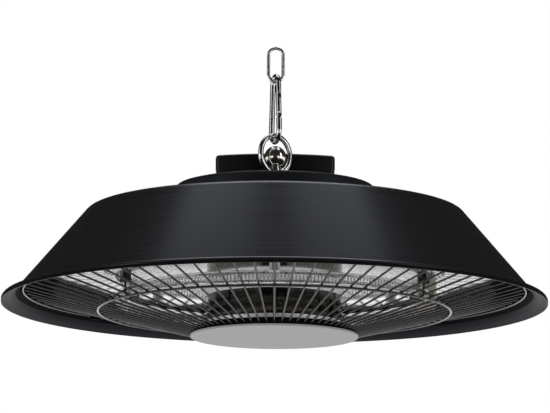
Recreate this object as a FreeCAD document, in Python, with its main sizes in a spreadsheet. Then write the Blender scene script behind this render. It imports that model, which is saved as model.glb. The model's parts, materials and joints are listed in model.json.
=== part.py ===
"""Hanging patio heater: a black conical shade with a ring lamp behind a wire guard, on a ring, clip and link."""
import FreeCAD, Part
import math
import os
import re

import Sketcher
from FreeCAD import Vector

# Driving sizes in millimetres, degrees and counts. Heights are above the bottom edge of the shade's hem.
SIZES = {
    # Chain link, carabiner and ring
    "link_wire": 2.6,
    "link_inner_width": 8.8,
    "link_inner_length": 23.8,
    "hook_gap": 0.3,
    "clip_wire": 4.4,
    "clip_length": 56.2,
    "clip_head_radius": 6.4,
    "clip_foot_radius": 9.0,
    "clip_turn": -71,
    "gate_foot_height": 20.0,
    "gate_length": 17.5,
    "gate_wire": 4.2,
    "tongue_thickness": 1.9,
    "tongue_gap": 0.25,
    "nose_length": 3.4,
    "rivet_diameter": 1.8,
    "rivet_gap": 0.12,
    "ring_wire": 4.2,
    "ring_diameter": 33.6,
    "ring_turn": 40,
    # Ball stud and its fixing
    "ball_diameter": 17.0,
    "ball_height": 23.8,
    "eye_height": 11.6,
    "eye_bore": 6.2,
    "eye_lift": 0.6,
    "stud_base_diameter": 17.0,
    "stud_base_height": 3.6,
    "stud_waist_diameter": 14.0,
    "stud_neck_diameter": 8.0,
    "neck_entry": 7.3,
    "stud_thread": 8.0,
    "stud_thread_length": 13.0,
    "washer_diameter": 22.0,
    "washer_thickness": 1.6,
    "stud_nut_width": 13.0,
    "stud_nut_height": 6.5,
    # Shade and top cap
    "shade_diameter": 425.0,
    "flange_width": 8.6,
    "shade_top_diameter": 291.2,
    "shade_height": 73.2,
    "shade_wall": 1.2,
    "shade_edge_radius": 8.0,
    "shade_opening": 130.0,
    "flange_height": 4.8,
    "flange_fillet": 3.0,
    "lip_radius": 15.0,
    "hem_radius": 3.0,
    "cap_diameter": 156.0,
    "cap_height": 19.8,
    "cap_wall": 1.2,
    "cap_edge_radius": 3.0,
    "cap_flange": 9.0,
    "screw_count": 4,
    "screw_shank": 3.8,
    "screw_head": 7.0,
    "screw_head_height": 2.4,
    "screw_length": 8.0,
    "hole_gap": 0.2,
    # Control box
    "box_width": 92.7,
    "box_front": 21.0,
    "box_back": 56.0,
    "box_bow": 9.0,
    "box_base_height": 19.0,
    "box_cover_height": 11.6,
    "box_wall": 2.2,
    "box_corner_radius": 4.0,
    "box_top_radius": 2.6,
    "cover_overhang": 0.6,
    "post_diameter": 8.0,
    "post_gap": 0.3,
    "front_post_across": 22.0,
    "back_post_across": 22.0,
    "box_screw_shank": 2.9,
    "box_screw_head": 5.6,
    "box_screw_head_height": 2.0,
    "box_screw_sink": 2.5,
    "mount_across": 33.0,
    "mount_back": 49.0,
    "gland_thread": 10.0,
    "gland_collar": 12.4,
    "gland_collar_length": 4.5,
    "gland_bore": 6.6,
    "gland_length": 11.3,
    "gland_height": 10.8,
    "gland_setback": 42.0,
    "gland_nut_width": 12.5,
    "gland_nut_height": 3.6,
    "gland_tail": 1.8,
    "terminal_length": 34.0,
    "terminal_depth": 14.0,
    "terminal_height": 12.0,
    "terminal_back": 40.0,
    "terminal_hole": 3.2,
    "lead_hole_across": 33.0,
    "lead_hole_back": 36.5,
    "lead_hole": 12.0,
    "grommet_bore": 7.6,
    "grommet_lip": 1.6,
    # Reflector, hub and centre disc
    "reflector_diameter": 338.0,
    "reflector_level": 14.0,
    "reflector_rim_height": 19.5,
    "reflector_flat_diameter": 270.0,
    "reflector_wall": 1.0,
    "reflector_edge": 4.0,
    "spacer_count": 3,
    "spacer_circle": 212.0,
    "spacer_diameter": 9.0,
    "bolt_diameter": 4.0,
    "bolt_head": 8.0,
    "bolt_head_height": 2.6,
    "bolt_nut_width": 7.0,
    "bolt_nut_height": 3.2,
    "bolt_tail": 1.9,
    "hub_diameter": 106.0,
    "hub_wall": 1.0,
    "hub_flange": 8.0,
    "hub_floor_height": -24.1,
    "rivet_count": 6,
    "hub_rivet": 3.2,
    "hub_rivet_head": 5.6,
    "disc_diameter": 130.8,
    "disc_thickness": 1.6,
    "disc_lip": 2.6,
    "disc_stud_circle": 70.0,
    "disc_stud_length": 8.0,
    # Ring lamp
    "lamp_diameter": 240.0,
    "lamp_height": 3.5,
    "tube_diameter": 10.5,
    "tube_wall": 1.0,
    "lamp_gap_angle": 18,
    "socket_width": 13.0,
    "socket_thickness": 8.0,
    "socket_drop": 2.4,
    "socket_fit": 0.3,
    "filament_wire": 0.9,
    "filament_coil": 7.0,
    "filament_turns": 60,
    "clip_block_length": 7.0,
    "clip_block_width": 6.0,
    "clip_seat_gap": 0.3,
    "hook_wire": 1.6,
    "hook_tip": 2.5,
    # Wire guard
    "guard_diameter": 391.0,
    "guard_rim_height": 9.3,
    "guard_middle_diameter": 274.4,
    "guard_ring_wire": 2.6,
    "guard_wire": 2.0,
    "guard_wires": 72,
    "weld_depth": 0.3,
    "collar_diameter": 129.6,
    "collar_wall": 2.4,
    "collar_height": 5.2,
    "guard_foot_height": -22.6,
    "guard_clip_count": 4,
    "guard_clip_width": 8.0,
    "guard_clip_thickness": 1.0,
    "guard_clip_reach": 28.0,
    "guard_clip_gap": 0.3,
    # Wiring
    "cutout_diameter": 17.0,
    "cutout_height": 9.0,
    "cutout_cap_diameter": 13.6,
    "cutout_offset": 80.0,
    "lead_diameter": 2.8,
    "lead_spread": 3.4,
    "lead_rise": 18.0,
    "lead_sag": 9.0,
}

# Heights from the hanging point down, and slopes that several pieces share
LEVELS = {
    "link_foot": "-(link_inner_length + link_wire/2)",
    "clip_head": "link_foot + (link_wire + clip_wire)/2 + hook_gap",
    "clip_foot": "clip_head - clip_length + clip_wire",
    "ring_head": "clip_foot + (clip_wire + ring_wire)/2 + hook_gap",
    "ring_middle": "ring_head - (ring_diameter - ring_wire)/2",
    "eye_level": "2*ring_middle - ring_head + eye_lift",
    "cap_top": "eye_level - eye_height",
    "rim_level": "cap_top - cap_height - shade_height",
    "shade_base_diameter": "shade_diameter - 2*flange_width",
    "shade_lean": "(shade_base_diameter - shade_top_diameter)/2/(shade_height - flange_height)",
    "shade_stretch": "sqrt(1 + shade_lean^2)",
    "shade_inset": "shade_wall*(shade_stretch - shade_lean)",
    "bow_radius": "((box_width/2)^2 + box_bow^2)/(2*box_bow)",
    "wire_lift": "(guard_ring_wire + guard_wire)/2 - weld_depth",
    "wire_run": "(guard_diameter - collar_diameter + collar_wall)/2",
    "wire_rise": "guard_rim_height + wire_lift - guard_foot_height",
    "wire_span": "sqrt(wire_run^2 + wire_rise^2)",
    "disc_top": "hub_floor_height",
    "clip_sine": "(clip_foot_radius - clip_head_radius)/(clip_length - clip_wire"
                 " - clip_foot_radius - clip_head_radius)",
    "clip_cosine": "sqrt(1 - clip_sine^2)",
}

doc = FreeCAD.newDocument("PatioHeater")
sheet = doc.addObject("Spreadsheet::Sheet", "Sizes")
levels = doc.addObject("App::VarSet", "Levels")


def full(expression):
    """Spell an expression out, with each size and level named in its own object."""
    def spell(match):
        word = match.group(0)
        if word in SIZES:
            return "Sizes." + word
        if word in LEVELS:
            return "Levels." + word
        return word
    return re.sub(r"[A-Za-z_][A-Za-z_0-9]*", spell, str(expression))


def number(expression):
    """Work an expression out with the sheet's present values."""
    return float(sheet.evalExpression(full(expression)))


def fill_tables():
    """Write the driving sizes into the sheet and the shared levels into their set."""
    for row, (alias, value) in enumerate(SIZES.items(), start=1):
        sheet.set(f"A{row}", alias)
        sheet.set(f"B{row}", str(value))
        sheet.setAlias(f"B{row}", alias)
    doc.recompute()
    for name, expression in LEVELS.items():
        levels.addProperty("App::PropertyFloat", name, "Levels")
        levels.setExpression(name, full(expression))
        doc.recompute()


def new_body(label, level="rim_level", turn=None):
    """Start a body at a level on the heater's axis, turned about it."""
    body = doc.addObject("PartDesign::Body", label)
    body.Label = label
    body.setExpression("Placement.Base.z", full(level))
    if turn is not None:
        body.setExpression("Placement.Rotation.Angle", full(turn))
    return body


def datum(body, role):
    """Return an origin plane or axis of a body."""
    return next(item for item in body.Origin.OriginFeatures if item.Role == role)


def new_sketch(body, label, plane, lift=None, across=None):
    """Start a sketch on an origin plane, lifted off it or moved along its own X."""
    sketch = body.newObject("Sketcher::SketchObject", label)
    sketch.AttachmentSupport = (datum(body, plane), [""])
    sketch.MapMode = "FlatFace"
    if lift is not None:
        sketch.setExpression("AttachmentOffset.Base.z", full(lift))
    if across is not None:
        sketch.setExpression("AttachmentOffset.Base.x", full(across))
    doc.recompute()
    return sketch


def tie(sketch, kind, references, expression):
    """Add a dimension to a sketch and bind it to an expression."""
    index = sketch.addConstraint(Sketcher.Constraint(kind, *references, number(expression)))
    sketch.setExpression(f"Constraints[{index}]", full(expression))


def pin(sketch, geometry, position, across, up):
    """Fix a sketch point by its two distances from the sketch's origin."""
    tie(sketch, "DistanceX", (-1, 1, geometry, position), across)
    tie(sketch, "DistanceY", (-1, 1, geometry, position), up)


def round_corner(sketch, before, after, corner):
    """Add the tangent arc of one outline corner between two of its lines."""
    across, up, radius = corner
    point = Vector(number(across), number(up), 0)
    way_in = sketch.Geometry[before].EndPoint - sketch.Geometry[before].StartPoint
    way_out = sketch.Geometry[after].EndPoint - sketch.Geometry[after].StartPoint
    way_in.normalize()
    way_out.normalize()
    size = number(radius)
    left = way_in.cross(way_out).z > 0
    reach = size * math.tan(way_in.getAngle(way_out) / 2)
    side = Vector(-way_in.y, way_in.x, 0) if left else Vector(way_in.y, -way_in.x, 0)
    centre = point - way_in * reach + side * size
    first = point - way_in * reach - centre
    last = point + way_out * reach - centre
    start, end = (first, last) if left else (last, first)
    angle_start = math.atan2(start.y, start.x)
    angle_end = math.atan2(end.y, end.x)
    if angle_end < angle_start:
        angle_end += 2 * math.pi
    circle = Part.Circle(centre, Vector(0, 0, 1), size)
    arc = sketch.addGeometry(Part.ArcOfCircle(circle, angle_start, angle_end), False)
    sketch.addConstraint(Sketcher.Constraint("Tangent", before, 2, arc, 1 if left else 2))
    sketch.addConstraint(Sketcher.Constraint("Tangent", after, 1, arc, 2 if left else 1))
    tie(sketch, "Radius", (arc,), radius)
    virtual = sketch.addGeometry(Part.Point(point), True)
    sketch.addConstraint(Sketcher.Constraint("PointOnObject", virtual, 1, before))
    sketch.addConstraint(Sketcher.Constraint("PointOnObject", virtual, 1, after))
    pin(sketch, virtual, 1, across, up)


def trimmed(points, radii, index):
    """Return the ends of one outline line, shortened by the rounded corners beside it."""
    count = len(points)
    ends = []
    for corner, other in ((index, index + 1), (index + 1, index)):
        here = points[corner % count]
        along = (points[other % count] - here).normalize()
        before = (here - points[(corner - 1) % count]).normalize()
        after = (points[(corner + 1) % count] - here).normalize()
        cut = radii[corner % count] * math.tan(before.getAngle(after) / 2)
        ends.append(here + along * cut)
    return ends


def outline(sketch, corners, closed=True):
    """Draw a chain of lines through corners (across, up) or (across, up, radius)."""
    points = [Vector(number(corner[0]), number(corner[1]), 0) for corner in corners]
    radii = [number(corner[2]) if len(corner) > 2 else 0 for corner in corners]
    count = len(points)
    line_count = count if closed else count - 1
    lines = []
    for index in range(line_count):
        start, end = trimmed(points, radii, index)
        lines.append(sketch.addGeometry(Part.LineSegment(start, end), False))
    for index, corner in enumerate(corners):
        if not closed and index == count - 1:
            pin(sketch, lines[-1], 2, corner[0], corner[1])
            continue
        if not closed and index == 0:
            pin(sketch, lines[0], 1, corner[0], corner[1])
            continue
        before = lines[index - 1]
        after = lines[index]
        if len(corner) > 2:
            round_corner(sketch, before, after, corner)
        else:
            sketch.addConstraint(Sketcher.Constraint("Coincident", before, 2, after, 1))
            pin(sketch, after, 1, corner[0], corner[1])
    doc.recompute()
    return sketch


def circle(sketch, across, up, diameter):
    """Draw one circle."""
    centre = Vector(number(across), number(up), 0)
    radius = number(diameter) / 2
    index = sketch.addGeometry(Part.Circle(centre, Vector(0, 0, 1), radius), False)
    pin(sketch, index, 3, across, up)
    tie(sketch, "Diameter", (index,), diameter)
    doc.recompute()
    return sketch


def revolve(body, sketch, axis="Z_Axis", angle=360):
    """Turn a profile about an origin axis of its body or about its own V_Axis."""
    feature = body.newObject("PartDesign::Revolution", sketch.Name + "Turned")
    feature.Profile = sketch
    feature.ReferenceAxis = (sketch, [axis]) if axis == "V_Axis" else (datum(body, axis), [""])
    feature.setExpression("Angle", full(angle))
    doc.recompute()
    return feature


def pad(body, sketch, length, symmetric=False, down=False):
    """Raise a profile."""
    feature = body.newObject("PartDesign::Pad", sketch.Name + "Raised")
    feature.Profile = sketch
    feature.setExpression("Length", full(length))
    feature.SideType = "Symmetric" if symmetric else "One side"
    feature.Reversed = down
    doc.recompute()
    return feature


def cut_through(body, sketch):
    """Cut a profile right through its body, both ways from its sketch."""
    feature = body.newObject("PartDesign::Pocket", sketch.Name + "Cut")
    feature.Profile = sketch
    feature.Type = "ThroughAll"
    feature.SideType = "Symmetric"
    doc.recompute()
    return feature


def cut_depth(body, sketch, depth, up=False):
    """Cut a profile to a depth, downward or upward from its sketch."""
    feature = body.newObject("PartDesign::Pocket", sketch.Name + "Cut")
    feature.Profile = sketch
    feature.setExpression("Length", full(depth))
    feature.Reversed = up
    doc.recompute()
    return feature


def repeat(body, feature, count):
    """Repeat a feature evenly round the heater's axis."""
    pattern = body.newObject("PartDesign::PolarPattern", feature.Name + "Repeated")
    pattern.Originals = [feature]
    pattern.Axis = (datum(body, "Z_Axis"), [""])
    pattern.Angle = 360
    pattern.setExpression("Occurrences", full(count))
    body.Tip = pattern
    doc.recompute()
    return pattern


def hexagon(across, up, width):
    """Corners of a hexagon of a given width across its flats."""
    corners = []
    for index in range(6):
        angle = 60 * index + 30
        corners.append((f"{across} + {width}/sqrt(3)*cos({angle})", f"{up} + {width}/sqrt(3)*sin({angle})"))
    return corners


def chain_link():
    """Long link of round wire, seen face on."""
    body = new_body("chain_link", "0")
    half = "(link_inner_width + link_wire)/2"
    head = "-link_inner_width/2"
    foot = "link_inner_width/2 - link_inner_length"
    limbs = new_sketch(body, "LinkLimbs", "XY_Plane", lift=foot)
    circle(limbs, half, "0", "link_wire")
    circle(limbs, "-" + half, "0", "link_wire")
    pad(body, limbs, f"{head} - ({foot})")
    for name, level, under in (("LinkHead", head, False), ("LinkFoot", foot, True)):
        bow = new_sketch(body, name, "XY_Plane", lift=level)
        circle(bow, half, "0", "link_wire")
        turned = revolve(body, bow, "V_Axis", "180")
        turned.Reversed = not under
        doc.recompute()
    return body


def on_limb(along, aside):
    """Place a point on the carabiner's gate side, measured from the rivet along the limb and out from it."""
    across = "clip_foot_radius/clip_cosine - (gate_foot_height - clip_foot_radius)*clip_sine/clip_cosine"
    return (f"{across} - ({along})*clip_sine + ({aside})*clip_cosine",
            f"gate_foot_height + ({along})*clip_cosine + ({aside})*clip_sine")


def limb_plate(body, label, low, high, half, rounded):
    """Sketch a plate in the carabiner's own plane along its gate side, with one end rounded or square."""
    corners = [on_limb(low, f"-({half})"), on_limb(low, half), on_limb(high, half), on_limb(high, f"-({half})")]
    if rounded:
        corners[2] += (f"0.99*({half})",)
        corners[3] += (f"0.99*({half})",)
    return outline(new_sketch(body, label, "XZ_Plane"), corners)


def carabiner_path(body):
    """Sketch the wire's centre line: from the hinge round the foot, up the spine and over to the nose."""
    sketch = new_sketch(body, "WirePath", "XZ_Plane")
    length = number("clip_length - clip_wire")
    foot = number("clip_foot_radius")
    head = number("clip_head_radius")
    lean = math.asin(number("clip_sine"))
    low_centre = Vector(0, foot, 0)
    high_centre = Vector(0, length - head, 0)
    side = Vector(math.cos(lean), math.sin(lean), 0)
    other = Vector(-side.x, side.y, 0)
    hinge_end = on_limb("-gate_wire/2 - tongue_gap", "0")
    nose_end = on_limb("gate_length + tongue_gap", "0")
    start = Vector(number(hinge_end[0]), number(hinge_end[1]), 0)
    end = Vector(number(nose_end[0]), number(nose_end[1]), 0)
    up = Vector(0, 0, 1)
    first = sketch.addGeometry(Part.LineSegment(start, low_centre + side * foot), False)
    bottom = Part.ArcOfCircle(Part.Circle(low_centre, up, foot), math.pi - lean, 2 * math.pi + lean)
    low = sketch.addGeometry(bottom, False)
    spine = sketch.addGeometry(Part.LineSegment(low_centre + other * foot, high_centre + other * head), False)
    top = Part.ArcOfCircle(Part.Circle(high_centre, up, head), lean, math.pi - lean)
    high = sketch.addGeometry(top, False)
    last = sketch.addGeometry(Part.LineSegment(high_centre + side * head, end), False)
    for pair in ((first, 2, low, 2), (low, 1, spine, 1), (spine, 2, high, 2), (high, 1, last, 1)):
        sketch.addConstraint(Sketcher.Constraint("Tangent", *pair))
    pin(sketch, low, 3, "0", "clip_foot_radius")
    pin(sketch, high, 3, "0", "clip_length - clip_wire - clip_head_radius")
    tie(sketch, "Radius", (low,), "clip_foot_radius")
    tie(sketch, "Radius", (high,), "clip_head_radius")
    pin(sketch, first, 1, *hinge_end)
    pin(sketch, last, 2, *nose_end)
    doc.recompute()
    return sketch, hinge_end


def carabiner_body():
    """Pear-shaped wire hook with flat tongues at the hinge and at the nose."""
    body = new_body("carabiner_body", "clip_foot", "clip_turn")
    path, start = carabiner_path(body)
    section = new_sketch(body, "WireSection", "XY_Plane", lift=start[1])
    circle(section, start[0], "0", "clip_wire")
    pipe = body.newObject("PartDesign::AdditivePipe", "Wire")
    pipe.Profile = section
    pipe.Spine = (path, [f"Edge{index + 1}" for index in range(5)])
    doc.recompute()
    hinge = limb_plate(body, "HingeTongue", "-gate_wire", "gate_wire/2 - tongue_gap",
                       "gate_wire/2 - tongue_gap", True)
    pad(body, hinge, "tongue_thickness", symmetric=True)
    nose = limb_plate(body, "NoseTongue", "gate_length - nose_length", "gate_length + gate_wire/2",
                      "gate_wire/2 - tongue_gap", False)
    pad(body, nose, "tongue_thickness", symmetric=True)
    hole = new_sketch(body, "RivetHole", "XZ_Plane")
    cut_through(body, circle(hole, *on_limb("0", "0"), "rivet_diameter"))
    return body


FOOT_ROUNDING = "0.98"


def carabiner_gate():
    """Round gate, slotted at both ends over the tongues, with a domed foot round the rivet."""
    body = new_body("carabiner_gate", "clip_foot", "clip_turn")
    half = "gate_wire/2"
    profile = new_sketch(body, "GateProfile", "XZ_Plane")
    outline(profile, [on_limb("-" + half, "0"), on_limb("gate_length", "0"), on_limb("gate_length", half),
                      on_limb("-" + half, half) + (f"{FOOT_ROUNDING}*{half}",)])
    turned = body.newObject("PartDesign::Revolution", "GateTurned")
    turned.Profile = profile
    turned.ReferenceAxis = (profile, ["Edge1"])
    turned.Angle = 360
    doc.recompute()
    slots = (("HingeSlot", "-gate_wire", f"{half} + tongue_gap"),
             ("NoseSlot", "gate_length - nose_length - 2*tongue_gap", "gate_length + gate_wire"))
    for name, low, high in slots:
        slot = cut_depth(body, limb_plate(body, name, low, high, "gate_wire", False),
                         "tongue_thickness + 2*tongue_gap")
        slot.SideType = "Symmetric"
        doc.recompute()
    hole = new_sketch(body, "RivetHole", "XZ_Plane")
    cut_through(body, circle(hole, *on_limb("0", "0"), "rivet_diameter + 2*rivet_gap"))
    return body


def gate_rivet():
    """Pin that the gate turns on."""
    body = new_body("gate_rivet", "clip_foot", "clip_turn")
    pad(body, circle(new_sketch(body, "Rivet", "XZ_Plane"), *on_limb("0", "0"), "rivet_diameter"),
        "gate_wire + 2*rivet_gap", symmetric=True)
    return body


def hanging_ring():
    """Welded ring between the carabiner and the ball stud."""
    body = new_body("hanging_ring", "ring_middle", "ring_turn")
    section = new_sketch(body, "RingSection", "XY_Plane")
    revolve(body, circle(section, "(ring_diameter - ring_wire)/2", "0", "ring_wire"), "Y_Axis")
    return body


def ball_stud():
    """Turned stud with a ball, a flared waist with a cross hole for the ring, and a threaded end."""
    body = new_body("ball_stud", "cap_top", "ring_turn - 90")
    profile = new_sketch(body, "StudProfile", "XZ_Plane")
    outline(profile, [
        ("0", "-stud_thread_length"),
        ("stud_thread/2", "-stud_thread_length"),
        ("stud_thread/2", "0"),
        ("stud_base_diameter/2", "0"),
        ("stud_base_diameter/2", "stud_base_height"),
        ("stud_waist_diameter/2", "stud_base_height"),
        ("stud_neck_diameter/2", "ball_height - neck_entry"),
        ("stud_neck_diameter/2", "ball_height"),
        ("0", "ball_height"),
    ])
    revolve(body, profile)
    ball = body.newObject("PartDesign::AdditiveSphere", "Ball")
    ball.setExpression("Radius", full("ball_diameter/2"))
    ball.setExpression("AttachmentOffset.Base.z", full("ball_height"))
    ball.AttachmentSupport = (datum(body, "XY_Plane"), [""])
    ball.MapMode = "FlatFace"
    doc.recompute()
    eye = new_sketch(body, "Eye", "XZ_Plane")
    cut_through(body, circle(eye, "0", "eye_height", "eye_bore"))
    return body


def stud_washer():
    """Plain washer under the cap's top."""
    body = new_body("stud_washer", "cap_top - cap_wall - washer_thickness")
    ring = new_sketch(body, "Washer", "XY_Plane")
    circle(ring, "0", "0", "washer_diameter")
    circle(ring, "0", "0", "stud_thread + 2*hole_gap")
    pad(body, ring, "washer_thickness")
    return body


def stud_nut():
    """Nut that draws the stud down on the cap."""
    body = new_body("stud_nut", "cap_top - cap_wall - washer_thickness - stud_nut_height")
    nut = new_sketch(body, "Nut", "XY_Plane")
    outline(nut, hexagon("0", "0", "stud_nut_width"))
    circle(nut, "0", "0", "stud_thread + hole_gap")
    pad(body, nut, "stud_nut_height")
    return body


HEAD_ROUNDING = "0.6"


def screw_profile(sketch, seat, shank, length, head, height):
    """Half section of a round-headed screw whose head sits at a level."""
    return outline(sketch, [
        ("0", f"{seat} + {height}"),
        (f"{head}/2", f"{seat} + {height}", f"{HEAD_ROUNDING}*{height}"),
        (f"{head}/2", seat),
        (f"{shank}/2", seat),
        (f"{shank}/2", f"{seat} - ({length})"),
        ("0", f"{seat} - ({length})"),
    ])


def screw_ring(label, circle_size, count, turn, seat, shank, length, head, height):
    """Equal screws on a circle round the heater's axis."""
    body = new_body(label, turn=turn)
    sketch = new_sketch(body, label + "_profile", "XZ_Plane", across=f"{circle_size}/2")
    screw_profile(sketch, seat, shank, length, head, height)
    repeat(body, revolve(body, sketch, "V_Axis"), count)
    return body


def hole_ring(body, label, circle_size, count, angle, diameter):
    """Cut holes through a body on a circle round its axis."""
    sketch = new_sketch(body, label, "XY_Plane")
    circle(sketch, f"{circle_size}/2*cos({angle})", f"{circle_size}/2*sin({angle})", diameter)
    repeat(body, cut_through(body, sketch), count)


CAP_SCREW_CIRCLE = "(cap_diameter + cap_flange)"
CAP_SCREW_ANGLE = "45"
BOLT_ANGLE = "30"


def shade():
    """Spun cone with a flat top, a narrow flange and a rolled, closed rim."""
    body = new_body("shade")
    wall = "shade_wall"
    profile = new_sketch(body, "ShadeProfile", "XZ_Plane")
    outline(profile, [
        ("shade_opening/2", "shade_height"),
        ("shade_top_diameter/2", "shade_height", "shade_edge_radius"),
        ("shade_base_diameter/2", "flange_height", "flange_fillet"),
        ("shade_diameter/2", "flange_height", "hem_radius"),
        ("shade_diameter/2", "0"),
        (f"shade_diameter/2 - {wall}", "0"),
        ("shade_base_diameter/2 - shade_inset", f"flange_height - {wall}", "lip_radius"),
        ("shade_top_diameter/2 - shade_inset", f"shade_height - {wall}", f"shade_edge_radius - {wall}"),
        ("shade_opening/2", f"shade_height - {wall}"),
    ])
    revolve(body, profile)
    hole_ring(body, "CapScrewHole", CAP_SCREW_CIRCLE, "screw_count", CAP_SCREW_ANGLE,
              "screw_shank + 2*hole_gap")
    hole_ring(body, "BoltHole", "spacer_circle", "spacer_count", BOLT_ANGLE, "bolt_diameter + 2*hole_gap")
    return body


def top_cap():
    """Pressed drum that carries the stud and the control box and is screwed on the shade."""
    body = new_body("top_cap", "rim_level + shade_height")
    outer = "cap_diameter/2"
    inner = "cap_diameter/2 - cap_wall"
    bore = "stud_thread/2 + hole_gap"
    profile = new_sketch(body, "CapProfile", "XZ_Plane")
    outline(profile, [
        (bore, "cap_height"),
        (outer, "cap_height", "cap_edge_radius"),
        (outer, "cap_wall"),
        (f"{outer} + cap_flange", "cap_wall"),
        (f"{outer} + cap_flange", "0"),
        (inner, "0"),
        (inner, "cap_height - cap_wall", "cap_edge_radius - cap_wall"),
        (bore, "cap_height - cap_wall"),
    ])
    revolve(body, profile)
    hole_ring(body, "ScrewHole", CAP_SCREW_CIRCLE, "screw_count", CAP_SCREW_ANGLE, "screw_shank + 2*hole_gap")
    holes = new_sketch(body, "TopHoles", "XY_Plane")
    circle(holes, "lead_hole_across", "lead_hole_back", "lead_hole")
    for side in ("", "-"):
        circle(holes, side + "mount_across", "mount_back", "screw_shank + 2*hole_gap")
    cut_through(body, holes)
    return body


def cap_screws():
    """Screws through the cap's flange into the shade's top."""
    return screw_ring("cap_screws", CAP_SCREW_CIRCLE, "screw_count", CAP_SCREW_ANGLE, "shade_height + cap_wall",
                      "screw_shank", "screw_length", "screw_head", "screw_head_height")


def box_plan(sketch, grow):
    """Draw the control box's plan, grown outward: straight sides and back with a bowed front."""
    half = f"(box_width/2 + ({grow}))"
    back = f"(box_back + ({grow}))"
    radius = f"(bow_radius + ({grow}))"
    centre = Vector(0, number("box_front + bow_radius"), 0)
    x, y, r = number(half), number(back), number(radius)
    front = centre.y - math.sqrt(r * r - x * x)
    right = sketch.addGeometry(Part.LineSegment(Vector(x, front, 0), Vector(x, y, 0)), False)
    rear = sketch.addGeometry(Part.LineSegment(Vector(x, y, 0), Vector(-x, y, 0)), False)
    left = sketch.addGeometry(Part.LineSegment(Vector(-x, y, 0), Vector(-x, front, 0)), False)
    spread = math.asin(x / r)
    bow = Part.ArcOfCircle(Part.Circle(centre, Vector(0, 0, 1), r), 1.5 * math.pi - spread, 1.5 * math.pi + spread)
    face = sketch.addGeometry(bow, False)
    for pair in ((right, 2, rear, 1), (rear, 2, left, 1), (left, 2, face, 1), (face, 2, right, 1)):
        sketch.addConstraint(Sketcher.Constraint("Coincident", *pair))
    pin(sketch, face, 3, "0", "box_front + bow_radius")
    tie(sketch, "Radius", (face,), radius)
    pin(sketch, rear, 1, half, back)
    pin(sketch, rear, 2, "-" + half, back)
    tie(sketch, "DistanceX", (-1, 1, right, 1), half)
    tie(sketch, "DistanceX", (-1, 1, left, 2), "-" + half)
    doc.recompute()
    return sketch


def round_edges(body, feature, radius, wanted):
    """Round the edges of a feature that a test picks."""
    names = [f"Edge{index + 1}" for index, edge in enumerate(feature.Shape.Edges) if wanted(edge)]
    fillet = body.newObject("PartDesign::Fillet", feature.Name + "Rounded")
    fillet.Base = (feature, names)
    fillet.setExpression("Radius", full(radius))
    doc.recompute()
    return fillet


def is_upright(edge):
    """Tell whether a straight edge runs up and down."""
    box = edge.BoundBox
    return box.ZLength > max(box.XLength, box.YLength) * 100


def box_posts(sketch, diameter):
    """Draw a circle on each of the control box's four screw posts."""
    reach = "bow_radius - sqrt(bow_radius^2 - front_post_across^2)"
    front = f"box_front + {reach} + box_wall + post_diameter/2 + post_gap"
    back = "box_back - box_wall - post_diameter/2 - post_gap"
    for side in ("", "-"):
        circle(sketch, side + "front_post_across", front, diameter)
        circle(sketch, side + "back_post_across", back, diameter)
    return sketch


def box_base():
    """Lower half of the control box, open at the top, with screw posts and a hole for the cable gland."""
    body = new_body("box_base", "cap_top")
    shell = pad(body, box_plan(new_sketch(body, "BasePlan", "XY_Plane"), "0"), "box_base_height")
    round_edges(body, shell, "box_corner_radius", is_upright)
    cavity = new_sketch(body, "BaseCavity", "XY_Plane", lift="box_base_height")
    cut_depth(body, box_plan(cavity, "-box_wall"), "box_base_height - box_wall")
    posts = new_sketch(body, "BasePosts", "XY_Plane", lift="box_wall")
    pad(body, box_posts(posts, "post_diameter"), "box_base_height - box_wall")
    bores = new_sketch(body, "PostBores", "XY_Plane", lift="box_base_height")
    cut_depth(body, box_posts(bores, "box_screw_shank + 2*hole_gap"), "screw_length + 5*hole_gap")
    inlet = new_sketch(body, "Inlet", "YZ_Plane", lift="2*box_wall - box_width/2")
    cut_depth(body, circle(inlet, "gland_setback", "gland_height", "gland_thread + 2*hole_gap"), "3*box_wall")
    floor = new_sketch(body, "FloorHoles", "XY_Plane", lift="box_wall")
    circle(floor, "lead_hole_across", "lead_hole_back", "lead_hole")
    for side in ("", "-"):
        circle(floor, side + "mount_across", "mount_back", "screw_shank + 2*hole_gap")
    cut_depth(body, floor, "2*box_wall")
    return body


def box_cover():
    """Upper half of the control box, slightly wider than the base, with rounded top edges."""
    body = new_body("box_cover", "cap_top + box_base_height")
    shell = pad(body, box_plan(new_sketch(body, "CoverPlan", "XY_Plane"), "cover_overhang"), "box_cover_height")
    rounded = round_edges(body, shell, "box_corner_radius", is_upright)
    top = number("box_cover_height")
    round_edges(body, rounded, "box_top_radius", lambda edge: edge.BoundBox.ZMin > top/2)
    cavity = new_sketch(body, "CoverCavity", "XY_Plane")
    cut_depth(body, box_plan(cavity, "-box_wall"), "box_cover_height - box_wall", up=True)
    posts = new_sketch(body, "CoverPosts", "XY_Plane")
    pad(body, box_posts(posts, "post_diameter"), "box_cover_height - box_wall")
    holes = new_sketch(body, "CoverHoles", "XY_Plane")
    cut_through(body, box_posts(holes, "box_screw_shank + 2*hole_gap"))
    sinks = new_sketch(body, "ScrewSinks", "XY_Plane", lift="box_cover_height")
    cut_depth(body, box_posts(sinks, "box_screw_head + 2*hole_gap"), "box_screw_sink")
    return body


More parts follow.
